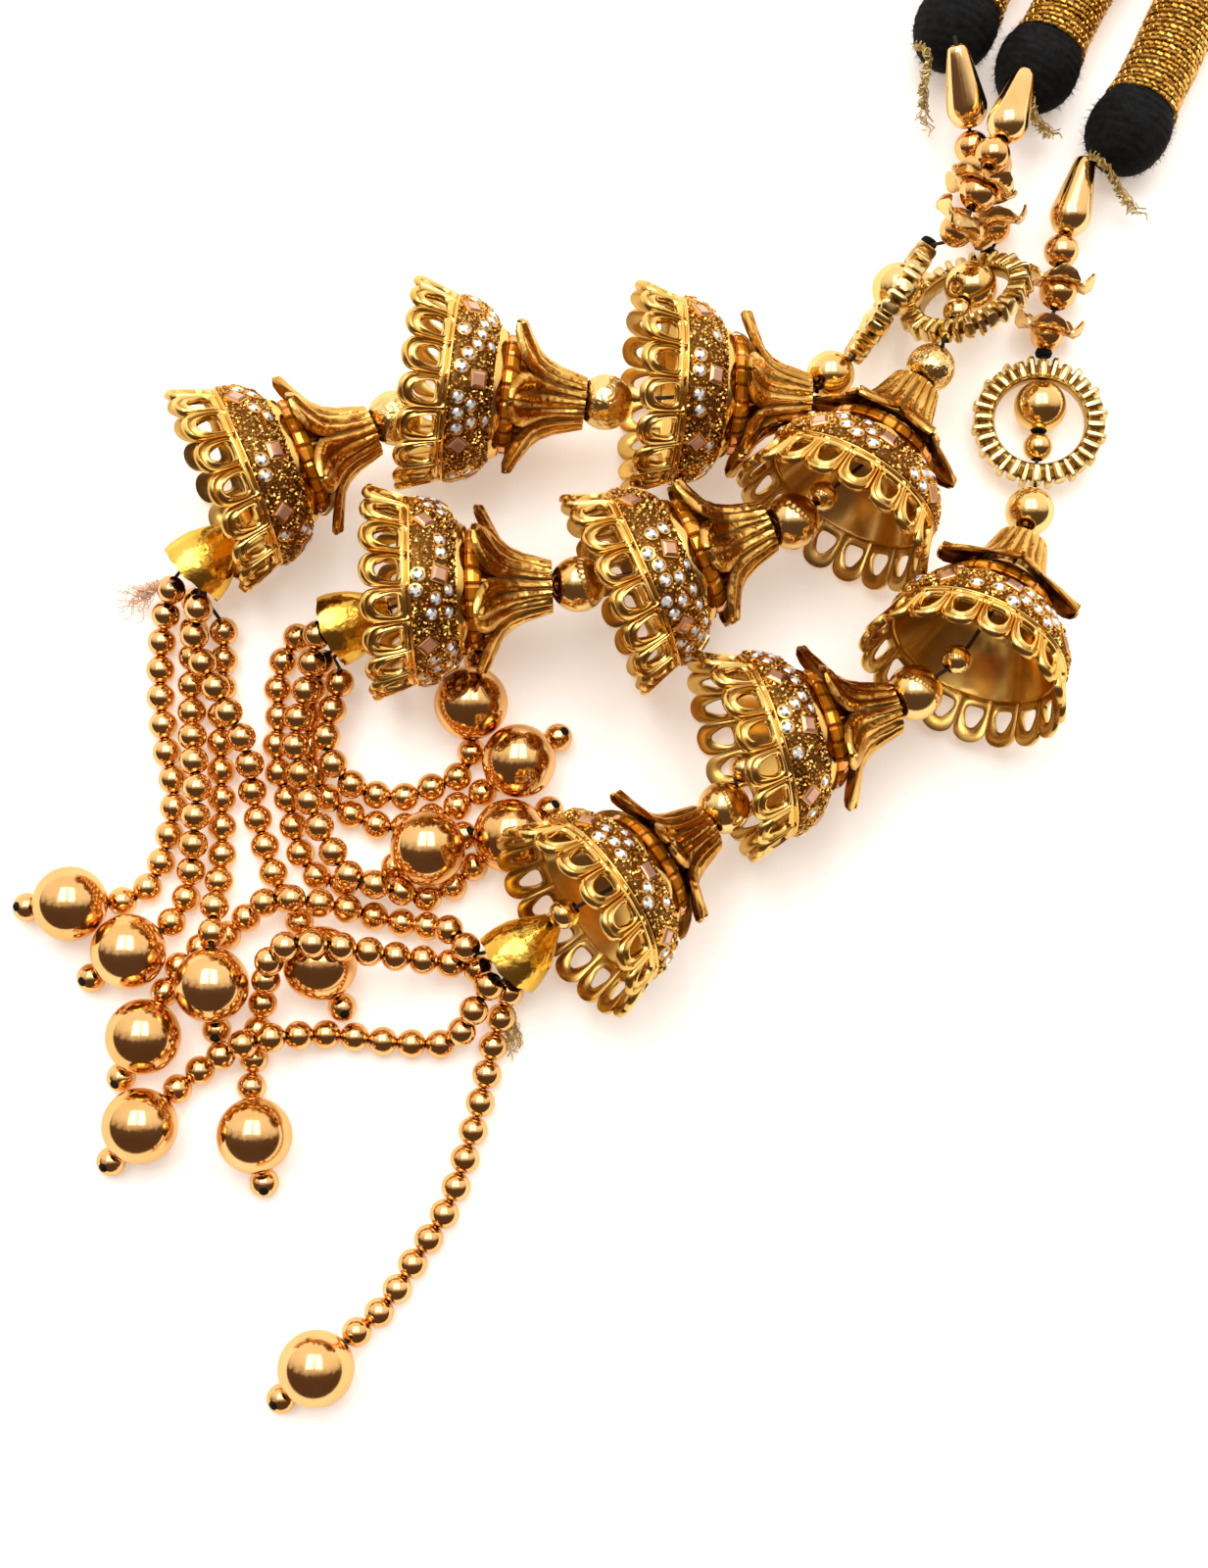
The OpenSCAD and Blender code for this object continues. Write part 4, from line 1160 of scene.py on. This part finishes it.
# %% Ribbed rings
def bar(inner, outer, half_angle, top, rounded_end):
    """One radial bar, symmetrical above and below, with a crowned top and soft edges."""
    v = []
    lengths = [inner, inner + 0.25, outer - 0.55, outer - 0.12, outer]
    widths = [0.7, 1, 1, 0.85, 0.45] if rounded_end else [0.9, 1, 1, 1, 0.85]
    heights = [0.75, 1, 1, 0.88, 0.6]
    half = [(-1, 0.45), (-0.82, 0.8), (-0.4, 0.97), (0.4, 0.97), (0.82, 0.8), (1, 0.45)]
    section = half + [(-x, -z) for x, z in half]
    n = len(section)
    for r, wide, high in zip(lengths, widths, heights):
        v += [polar(r, x * wide * half_angle, z * high * top) for x, z in section]
    return outward(Shape(v, lattice(len(lengths), n) + [tuple(range(n)), tuple(range(4 * n, 5 * n))]))


BARS = 16
wide_bar = bar(6.35, 8.95, math.pi / BARS * 0.455, 1.36, False)
narrow_bar = bar(6.4, 9.35, math.pi / BARS * 0.305, 1.46, True).placed(turn("Z", 180 / BARS))
RING_CORE = [(6.15, -0.8), (6.35, -1.1), (6.75, -0.6), (8.1, -0.6), (8.3, -0.4), (8.3, 0.4), (8.1, 0.6),
             (6.75, 0.6), (6.35, 1.1), (6.15, 0.8)]
# Painted shade: full on the core between the bars, a quarter on its inner lip.
ring_core = outward(revolve(rounded(RING_CORE), 96, [0.25] * 4 + [1] * 12 + [0.25] * 4))
ribbed_ring = joined([ring_core, round_axis("ring_bars", joined([wide_bar, narrow_bar]), BARS)])
for s, row in enumerate(RINGS):
    tilt = aimed(row[3], row[4]) @ turn("Y", 90) @ turn("X", row[5])
    piece("cast_ring_" + STRANDS[s], ribbed_ring.placed(tilt, row[:3]), pale_gold, "pale_gold_plate",
          ["ring_" + STRANDS[s]], crease=35)

# %% [markdown]
# At the top of each strand a cone drop covers the thread's knot, and two small bead caps with five
# curled petals hug the collar's beads. The drop is turned from a profile with its corners cut. A cap
# is one drawn petal, repeated and given its thickness as the leaves are.

# %% Drops
DROP_LEN, DROP_R = 11.2, 2.9
DROP = rounded([(0.7, 0.05), (1.3, 0), (2.3, 0.9), (DROP_R, 2.4), (DROP_R - 0.2, 4), (1.5, DROP_LEN - 0.6),
                (1.1, DROP_LEN), (0.7, DROP_LEN)], 2)
drop = outward(revolve(DROP, 48))
for s in range(3):
    top, end = np.array(COLLARS[s][0][:3]), np.array(COLLARS[s][1][:3])
    piece("spun_drop_" + STRANDS[s], drop.placed(aimed_along(top - end), end), copper_gold,
          "copper_gold_plate", ["drop_" + STRANDS[s]], crease=60)


# %% Flower caps
PETALS = 5


def flower_petal(hug, columns=12):
    """A fifth of a bead cap, cupped over its bead and curled back at the rim."""
    line = [(1.1, 0.2), (1.65, -0.1), (2.35, -0.7), (2.8, -1.4), (3.3, -1.9), (4.0, -1.9), (4.55, -1.3),
            (4.6, -0.55)]
    width = [1, 1, 1, 1, 1, 0.97, 0.86, 0.62]
    v, w = [], []
    for j, (r, z) in enumerate(line):
        along = max(0, (r - 3) / 2.6)
        for k in range(columns + 1):
            share = 2 * k / columns - 1
            phi = share * math.pi / PETALS * width[j]
            lift = along * (1.7 * (1 - share * share) - 0.7 + 0.2 * math.cos(6 * share + 1))
            v.append(polar(r, phi, hug + z + lift))
            # Painted shade at each side of the petal near its base, where it meets the next petal.
            w.append(0.5 * (1 - along) * (abs(share) > 0.8))
    return Shape(v, flipped(lattice(len(line), columns + 1, columns_close=False)), w)


def flower_cap(hug):
    sheet = outward(round_axis("flower_cap", flower_petal(hug), PETALS), merge=MERGE)
    return thickened(sheet, 0.18, 0.18, 0.3)


flower_shapes = {d: flower_cap(d / 2 + 0.15) for d in (4.6, 5.2)}
for s in range(3):
    stops = strand_stops(s)
    where = [stop[0] for stop in stops]
    caps = [flower_shapes[stop[2]].placed(aimed_along(-direction(where, i)) @ turn("Z", stop[3]), where[i])
            for i, stop in enumerate(stops) if stop[1] == "capped"]
    piece("petal_caps_" + STRANDS[s], joined(caps), petal_gold, "copper_gold_plate",
          ["flower_caps_" + STRANDS[s]], crease=60)

# %% [markdown]
# Each strand's last cap is a plain cone of soft bright sheet, with the tassel's strings coming out of
# it. A perfect cone would look cast, so the turned profile is pressed a little out of round, and its
# rim is made uneven.

# %% Tassel caps
TASSEL_CAP = [(CAP_R, 0), (CAP_R, 1), (CAP_R - 0.25, 2.4), (CAP_R - 0.8, 4.2), (3.2, 6),
              (1.9, CAP_LEN - 0.7), (1.5, CAP_LEN), (0.9, CAP_LEN), (1, CAP_LEN - 1), (2.4, 6),
              (CAP_R - 1.1, 3.2), (CAP_R - 0.5, 1), (CAP_R - 0.5, 0)]


def dented(a, r, z):
    """Presses the rim a little out of round and makes its edge uneven."""
    low = max(0, 1 - z / 6)
    r *= 1 + low * (0.025 * math.cos(2 * a + 0.6) + 0.014 * math.cos(5 * a) + 0.009 * math.cos(13 * a + z))
    return r, z + 0.22 * low * math.sin(3 * a + 1) + 0.1 * low * math.sin(11 * a)


# Painted shade on the inside of the cap.
tassel_cap = outward(revolve(TASSEL_CAP, 72, [0] * 8 + [0.7] * 5, dented))
for s, row in enumerate(TASSEL_CAPS):
    piece("sheet_cap_" + STRANDS[s], tassel_cap.placed(aimed(row[3] + 180, -row[4]), row[:3]), bright_gold,
          "bright_gold_sheet", ["tassel_cap_" + STRANDS[s]], crease=50)

# %% [markdown]
# The three cords are wrapped in a knitted tinsel tape. A soft core follows the cord's route with
# shallow turns in its surface. Flat bright stitches lie on it in rows that climb round the cord, and
# lean one way and then the other, as knitting does. Stubs of cut tinsel fill the cord's open end.


# %% Cords
def tube(path, radius, sides, shade=0.0, ridges=None):
    """A round tube along a path, its radius given by the distance along it and the angle round it."""
    v, w = [], []
    far = distances(path)
    for i, p in enumerate(path):
        _, u, side = across(path, i)
        for k in range(sides):
            a = part_turn(k, sides)
            r, dark = ridges(far[i], a) if ridges else (radius, shade)
            v.append(p + r * (math.cos(a) * u + math.sin(a) * side))
            w.append(dark)
    ends = [tuple(range(sides)), tuple(reversed(range(len(v) - sides, len(v))))]
    return outward(Shape(v, lattice(len(path), sides) + ends, w))


CORD_R, TURN, OVERLAP = 4.9, 2.1, 2.6
ROW, PER_ROW, STITCH_LEAN, STITCH_TWIST = 0.8, 28, 0.22, 0.2


def wraps(far, a):
    """The turns of the tinsel tape round a cord, with painted shade in the grooves between them."""
    phase = math.cos(2 * math.pi * far / TURN + a)
    return CORD_R - 0.3 + 0.14 * phase, 0.45 * max(0, -phase)


def stitch(shade):
    """One flat stitch of tinsel, its long way along X, with soft edges."""
    v = [(x * a, y * b, z) for a, b, z in ((0.42, 0.2, -0.16), (0.48, 0.27, 0), (0.36, 0.16, 0.15))
         for x, y in ((-1, -1), (1, -1), (1, 1), (-1, 1))]
    return outward(Shape(v, [(3, 2, 1, 0), (8, 9, 10, 11)] + lattice(3, 4), [shade] * 12))


def lengthened(path, by):
    """A cord's path from a little way over its wound end."""
    return [path[0] - by * unit(path[1] - path[0])] + path


def tape_places(path, radius, seed):
    """Places for the stitches: rows that lean one way and the other round the cord."""
    draw = random.Random(seed)
    far = distances(path)
    rows = []
    for row in range(-1, int(far[-1] / ROW)):
        way = 1 if row % 2 else -1
        for k in range(PER_ROW):
            a = 2 * math.pi * (k + 0.5 * (row % 2)) / PER_ROW + draw.uniform(-0.02, 0.02)
            s = (row + 0.5) * ROW + ROW * a / math.pi + draw.uniform(-0.05, 0.05)
            if not 0.2 + 0.4 * math.cos(a + 1) < s < far[-1] - 0.2:
                continue
            i = max(0, min(len(path) - 2, int(np.searchsorted(far, s)) - 1))
            p = path[i] + (path[i + 1] - path[i]) * (s - far[i]) / (far[i + 1] - far[i])
            t, u, side = across(path, i)
            out = math.cos(a) * u + math.sin(a) * side
            flare = 0.5 * max(0, 1 - s / OVERLAP)
            z = Vector(unit(out + (0.12 * draw.uniform(-1, 1) + STITCH_LEAN * way) * t))
            x = Vector((0, 0, 1)).rotation_difference(z) @ Vector((1, 0, 0))
            round_way = Vector(np.cross(t, out))
            round_way = (round_way - round_way.dot(z) * z).normalized()
            twist = math.atan2(x.cross(round_way).dot(z), x.dot(round_way))
            place = p + out * (radius + flare + draw.uniform(-0.05, 0.05))
            size = draw.uniform(0.9, 1.1)
            rows.append((place, z[:], size, twist + STITCH_TWIST * way + draw.uniform(-0.08, 0.08)))
    return rows


GOLDEN_ANGLE = 2.4


def cut_end(path, seed, count=200):
    """Places for the stubs of cut tinsel that fill a cord's open end, spread as seeds in a flower."""
    draw = random.Random(seed)
    t, u, side = across(path, len(path) - 1)
    places = []
    for k in range(count):
        r, a = (CORD_R - 0.35) * math.sqrt((k + 0.5) / count), GOLDEN_ANGLE * k
        lean = [draw.uniform(-0.4, 0.4) for _ in range(3)]
        places.append((path[-1] + r * (math.cos(a) * u + math.sin(a) * side), unit(t + lean),
                       draw.uniform(0.36, 0.62)))
    return places


# Each stub gets painted shade at its foot, where the stubs crowd, and little at its tip.
stub = outward(Shape(granule.v * [0.75, 0.75, 1.3], granule.f, [0.8] * 4 + [0.1]))
for s, route in enumerate(CORDS):
    bare = smooth(route, 16)
    c = STRANDS[s]
    piece("cord_core_" + c, tube(lengthened(bare, 1.9), CORD_R, 40, ridges=wraps), tinsel_core,
          "tinsel_cord", ["cord_" + c])
    rows = tape_places(lengthened(bare, OVERLAP), CORD_R - 0.1, 70 + s)
    groups = [set_on_points("tape", stitch(shade), *zip(*rows[at::3]))
              for at, shade in enumerate((0, 0.15, 0.6))]
    groups.append(set_on_points("cut_end", stub, *zip(*cut_end(bare, 80 + s))))
    piece("cord_tinsel_" + c, joined(groups), tinsel, "tinsel_cord", crease=30)

# %% [markdown]
# A cord ends in an egg of tightly wound black thread. Winding a real thread would take far too many
# faces, so the egg's surface carries the windings as ridges that cross at two slants. A short fuzz of
# loose fibres is strewn over it, because black thread shows mainly by its soft edge.

# %% Wound ends
END_R, END_HALF, EGG_SWEEP, WINDINGS = 6.1, 6.7, 152, 14
FUZZ_SPACING, SHORTEST_FIBRE, LONGEST_FIBRE = 0.48, 0.35, 1.3


def wound_egg(seed, around=96, along=72):
    """An egg cut flat towards its cord, with two crossing sets of windings and painted shade between them."""
    v, w = [], []
    for j in range(along + 1):
        slant = math.radians(-90 + EGG_SWEEP * j / along)
        for k in range(around):
            a = part_turn(k, around)
            wound = WINDINGS * slant
            winding = math.cos(wound * 2.6 + a) * 0.5 + math.cos(wound * 2.1 - 2 * a + 1) * 0.5
            lumpy = 0.03 * math.cos(2 * a + 2 * slant + seed) + 0.018 * math.cos(3 * a - 3 * slant + 2 * seed)
            neck = -0.09 * max(0, -math.sin(slant)) ** 2
            r = (END_R - 0.2) * math.cos(slant) * (1 + lumpy + neck) + 0.07 * winding
            v.append(polar(max(r, 0.02), a, END_HALF * math.sin(slant)))
            w.append(0.4 * max(0, -winding))
    ends = [tuple(range(around)), tuple(reversed(range(along * around, (along + 1) * around)))]
    return outward(Shape(v, lattice(along + 1, around) + ends, w))


def hair(length, bend):
    """A loose fibre: a thin three-sided spike that leans over."""
    v = []
    for share in (0, 0.4, 0.75, 1):
        r = 0.035 * (1 - 0.8 * share)
        for k in range(3):
            a = part_turn(k, 3)
            v.append((r * math.cos(a) + bend * share ** 2, r * math.sin(a), length * share))
    return outward(Shape(v, lattice(4, 3) + [(0, 1, 2), (9, 10, 11)]))


for s, row in enumerate(WOUND_ENDS):
    egg = wound_egg(s + 1)
    fuzz = strew("fuzz", egg, hair(0.9, 0.5), FUZZ_SPACING, SHORTEST_FIBRE, LONGEST_FIBRE, 1.0, 11 + s)
    turned = aimed(row[3], 0) @ turn("Z", 50 * s)
    c = STRANDS[s]
    piece("wound_thread_" + c, egg.placed(turned, row[:3]), black_thread, "black_thread", ["cord_tip_" + c])
    piece("thread_fuzz_" + c, fuzz.placed(turned, row[:3]), black_thread, "black_thread")

# %% [markdown]
# Beyond the photograph's edge the three cords are held by a binding of the same black thread. Each
# turn is a closed tube round all three, because the turns lie flat against each other.

# %% Top binding
BINDING_AT, BINDING_TURN, BINDING_LEN, CORD_GAP = [78.2, 130.6, 5.9], 62.5, 5, 10.2


def binding_turn_path(z, r, steps=14):
    """One turn of thread round the three cords, across the binding's axis."""
    pts = []
    for side, start in ((1, -90), (-1, 90)):
        for k in range(steps + 1):
            a = math.radians(start + 180 * k / steps)
            pts.append(np.array([side * CORD_GAP + r * math.cos(a), r * math.sin(a), z]))
    return pts


def closed_tube(path, radius, sides=6):
    """A round tube along a path that meets itself, in one plane."""
    v, n = [], len(path)
    for i, p in enumerate(path):
        u = np.array([0, 0, 1.0])
        side = np.cross(unit(path[(i + 1) % n] - path[i - 1]), u)
        for k in range(sides):
            a = part_turn(k, sides)
            v.append(p + radius * (math.cos(a) * u + math.sin(a) * side))
    return outward(Shape(v, lattice(n, sides, rows_close=True)))


turns = [closed_tube(binding_turn_path(z, 5.45 + 0.06 * (k % 2)), 0.27)
         for k, z in enumerate(np.arange(-BINDING_LEN / 2 + 0.25, BINDING_LEN / 2, 0.44))]
binding = joined(turns).placed(aimed(BINDING_TURN, 0) @ turn("Z", 90), BINDING_AT)
piece("binding_turns", binding, black_thread, "black_thread", ["top_binding"])

# %% [markdown]
# The threads show only between the beads. Each is a thin tube that follows the same path as its
# solid in the CAD model, straight through every bore. Black knots show in the tipped holes of the
# end beads, and black spacers keep the rings' beads apart.


# %% Threads
def thread_path(stops):
    """Straight through each bore, and bent only between the beads."""
    where = [stop[0] for stop in stops]
    path = []
    for i, stop in enumerate(stops):
        reach = 0.47 * stop[2] * direction(where, i)
        path += [where[i] - reach, where[i] + reach] if stop[2] > 0 else [where[i]]
    return path


def lumpy(a, r, z):
    return r * (1 + 0.08 * math.cos(4 * a + 3 * z)), z


def knot_ball(at, radius):
    profile = [(radius * math.sin(math.pi * k / 8) + (0.02 if k in (0, 8) else 0),
                radius * math.cos(math.pi * k / 8)) for k in range(9)]
    return outward(revolve(profile, 12, wobble=lumpy)).placed(np.eye(3), at)


VISIBLE_THREAD_R, KNOT_R, STRING_KNOT_R, SPACERS_AT = THREAD_R - 0.03, 0.9, 0.68, (10.1, -0.9)
spacer = outward(revolve([(0.35, -0.5), (1.05, -0.45), (1.2, 0), (1.05, 0.45), (0.35, 0.5)], 20))
for s in range(3):
    parts = [tube(thread_path(strand_stops(s)), VISIBLE_THREAD_R, 8, 0.2),
             knot_ball(back_from(TASSEL_CAPS[s], 5), KNOT_R)]
    string_knots = []
    for k in range(4):
        ends = tassel_stops(s, k)
        *path, last = thread_path(ends)
        short_of_knot = last - 0.6 * BEAD * unit(last - path[-1])
        parts.append(tube(path + [short_of_knot], VISIBLE_THREAD_R, 6, 0.2))
        string_knots.append(knot_ball(ends[-1][0] + 0.42 * BEAD * end_aim(ends), STRING_KNOT_R))
    piece("beading_thread_" + STRANDS[s], joined(parts), brown_thread, "thread", ["threads_" + STRANDS[s]])
    along = heading_vector(RINGS[s][3], RINGS[s][4])
    spacers = [spacer.placed(aimed_along(along), np.array(RINGS[s][:3]) + along * d) for d in SPACERS_AT]
    piece("thread_knots_" + STRANDS[s], joined(spacers + string_knots), black_thread, "black_thread")

# %% [markdown]
# Loose ends of the tinsel ties curl away from each cord's end, another hangs from the last tassel
# cap, and pink nylon fibres stick out of the first one. Hair curves would be lost in the export, so
# each tail is a bundle of fine tubes that wind about a route and part towards its end.


# %% Loose ends
def plaited_tail(route, spread, strands, radius, seed, fray=0.0, crinkle=0.0):
    """Fine strands that wind about each other along a route and part towards its end."""
    draw = random.Random(seed)
    path = smooth(route, 10)
    parts = []
    for _ in range(strands):
        phase, pitch, reach = draw.uniform(0, 6.28), draw.uniform(0.75, 1.1), draw.uniform(0.6, 1)
        aside = np.array([draw.uniform(-1, 1), draw.uniform(-1, 1), draw.uniform(0, 0.6)])
        line = []
        for i, p in enumerate(path):
            _, u, side = across(path, i)
            share = i / (len(path) - 1)
            a = phase + i * pitch
            q = p + spread * reach * (math.cos(a) * u + math.sin(a) * side) + fray * share ** 2 * aside
            q = q + crinkle * np.array([draw.uniform(-1, 1) for _ in range(3)])
            q[2] = max(q[2], radius + 0.05)
            line.append(q)
        cut = int(len(line) * draw.uniform(0.75, 1))
        parts.append(tube(line[:max(cut, 4)], radius, 5))
    return joined(parts)


tails = [
    [[43.2, 102.2, 8.4], [44.8, 100.4, 9.2], [44.4, 97.4, 7], [44.6, 94.8, 4.4], [45.4, 92.2, 2.2]],
    [[57.2, 96.3, 9], [58.6, 95.4, 9.6], [59.2, 92.4, 8], [61.4, 91.2, 5.2], [63.6, 91.6, 3.4]],
    [[66.8, 86.2, 8.6], [68.6, 84.4, 9.4], [70.8, 82.6, 6.6], [73, 80.9, 4], [75.6, 79.9, 2.4]]]
for c, route in zip("bac", tails):
    piece("tie_tail_" + c, plaited_tail(route, 0.5, 12, 0.09, 31, 0.9, 0.3), pale_tinsel, "tinsel_cord")
cap_tail = [[-13.6, -27, 3.4], [-12.8, -30, 2.4], [-12.2, -33.5, 1.2], [-12.2, -37, 0.8]]
piece("cap_tail_c", plaited_tail(cap_tail, 0.5, 22, 0.075, 41, 1.5, 0.16), pale_tinsel, "tinsel_cord")
nylon_ends = [[-58, 26.2, 7], [-60.5, 26.4, 5.4], [-63.2, 25.4, 3], [-65.6, 24.2, 1.4]]
piece("nylon_ends_a", plaited_tail(nylon_ends, 0.6, 44, 0.05, 51, 2.8), nylon, "thread")

# %% [markdown]
# The scene is a plain white table top under soft light. Two bright panes overhead give the metal the
# window that shows in every bead of the photograph. The room behind them is bright on the window's
# side and dark on the other, with a ragged border, so that the gold has depth.

# %% Table top
floor_finish = Finish("table_white", Roughness=0.65, Specular_IOR_Level=0.3, Emission_Strength=0.4,
                      Base_Color=(0.93, 0.94, 0.95, 1), Emission_Color=(1, 0.86, 0.74, 1))
TABLE_HALF, TABLE_TOP = 1500, -0.05
corners = [(x * TABLE_HALF, y * TABLE_HALF, TABLE_TOP) for x, y in ((-1, -1), (1, -1), (1, 1), (-1, 1))]
table = plain_object("table_top", Shape(corners, [(0, 1, 2, 3)]))
table.data.materials.append(floor_finish.material)
print(table.name, "at", TABLE_TOP, "mm")

# %% Window light
WINDOW_Y, WINDOW_Z, WINDOW_LENGTH, WINDOW_WATTS = 0.82, 1.6, 1.56, 20
for name, x, width in (("window_left", -0.42, 0.68), ("window_right", 0.4, 0.60)):
    pane = bpy.data.lights.new(name, "AREA")
    pane.shape = "RECTANGLE"
    pane.size, pane.size_y = width, WINDOW_LENGTH
    pane.energy = WINDOW_WATTS * width
    window = bpy.data.objects.new(name, pane)
    window.location = (x, WINDOW_Y, WINDOW_Z)
    bpy.context.scene.collection.objects.link(window)
    print(name, "at", tuple(window.location))

# %% The room around
ROOM = [(0.0, (0.075, 0.046, 0.032)), (0.32, (0.095, 0.058, 0.042)), (0.42, (0.37, 0.31, 0.26)),
        (0.65, (0.74, 0.69, 0.63)), (1.0, (0.85, 0.81, 0.76))]
WINDOW_SIDE, RAGGEDNESS, ROOM_BRIGHTNESS = (0.05, 0.95, 0.3), 0.6, 1.5
world = bpy.data.worlds.new("soft_room")
bpy.context.scene.world = world
world.use_nodes = True
tree = world.node_tree
way = add_node(tree, "ShaderNodeTexCoord").outputs["Generated"]
toward = add_node(tree, "ShaderNodeVectorMath", {0: way, 1: WINDOW_SIDE}, operation="DOT_PRODUCT")
ragged = add_node(tree, "ShaderNodeTexNoise", {"Vector": way, "Scale": 4, "Detail": 5})
border = add_node(tree, "ShaderNodeMath", {
    0: ragged.outputs["Fac"], 1: RAGGEDNESS, 2: toward.outputs["Value"]}, operation="MULTIPLY_ADD")
ramp = add_node(tree, "ShaderNodeValToRGB", {0: border.outputs[0]})
stops = ramp.color_ramp.elements
stops[0].color, stops[1].color = (*ROOM[0][1], 1), (*ROOM[-1][1], 1)
for at, colour in ROOM[1:-1]:
    stops.new(at).color = (*colour, 1)
back = tree.nodes["Background"]
tree.links.new(ramp.outputs[0], back.inputs["Color"])
back.inputs["Strength"].default_value = ROOM_BRIGHTNESS
print("room:", len(stops), "tones")

# %% [markdown]
# A product photograph lets its white table burn out and keeps its gold saturated. The standard view
# clips in the same way, where a filmic one would turn the table grey and bright gold pale.

# %% View
bpy.context.scene.view_settings.view_transform = "Standard"
print("view:", bpy.context.scene.view_settings.view_transform)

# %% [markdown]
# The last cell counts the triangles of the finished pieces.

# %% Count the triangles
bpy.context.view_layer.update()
triangles = sum(len(p.vertices) - 2 for o in bpy.data.objects if o.type == "MESH" and "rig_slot" in o
                for p in o.data.polygons)
print("triangles:", triangles)
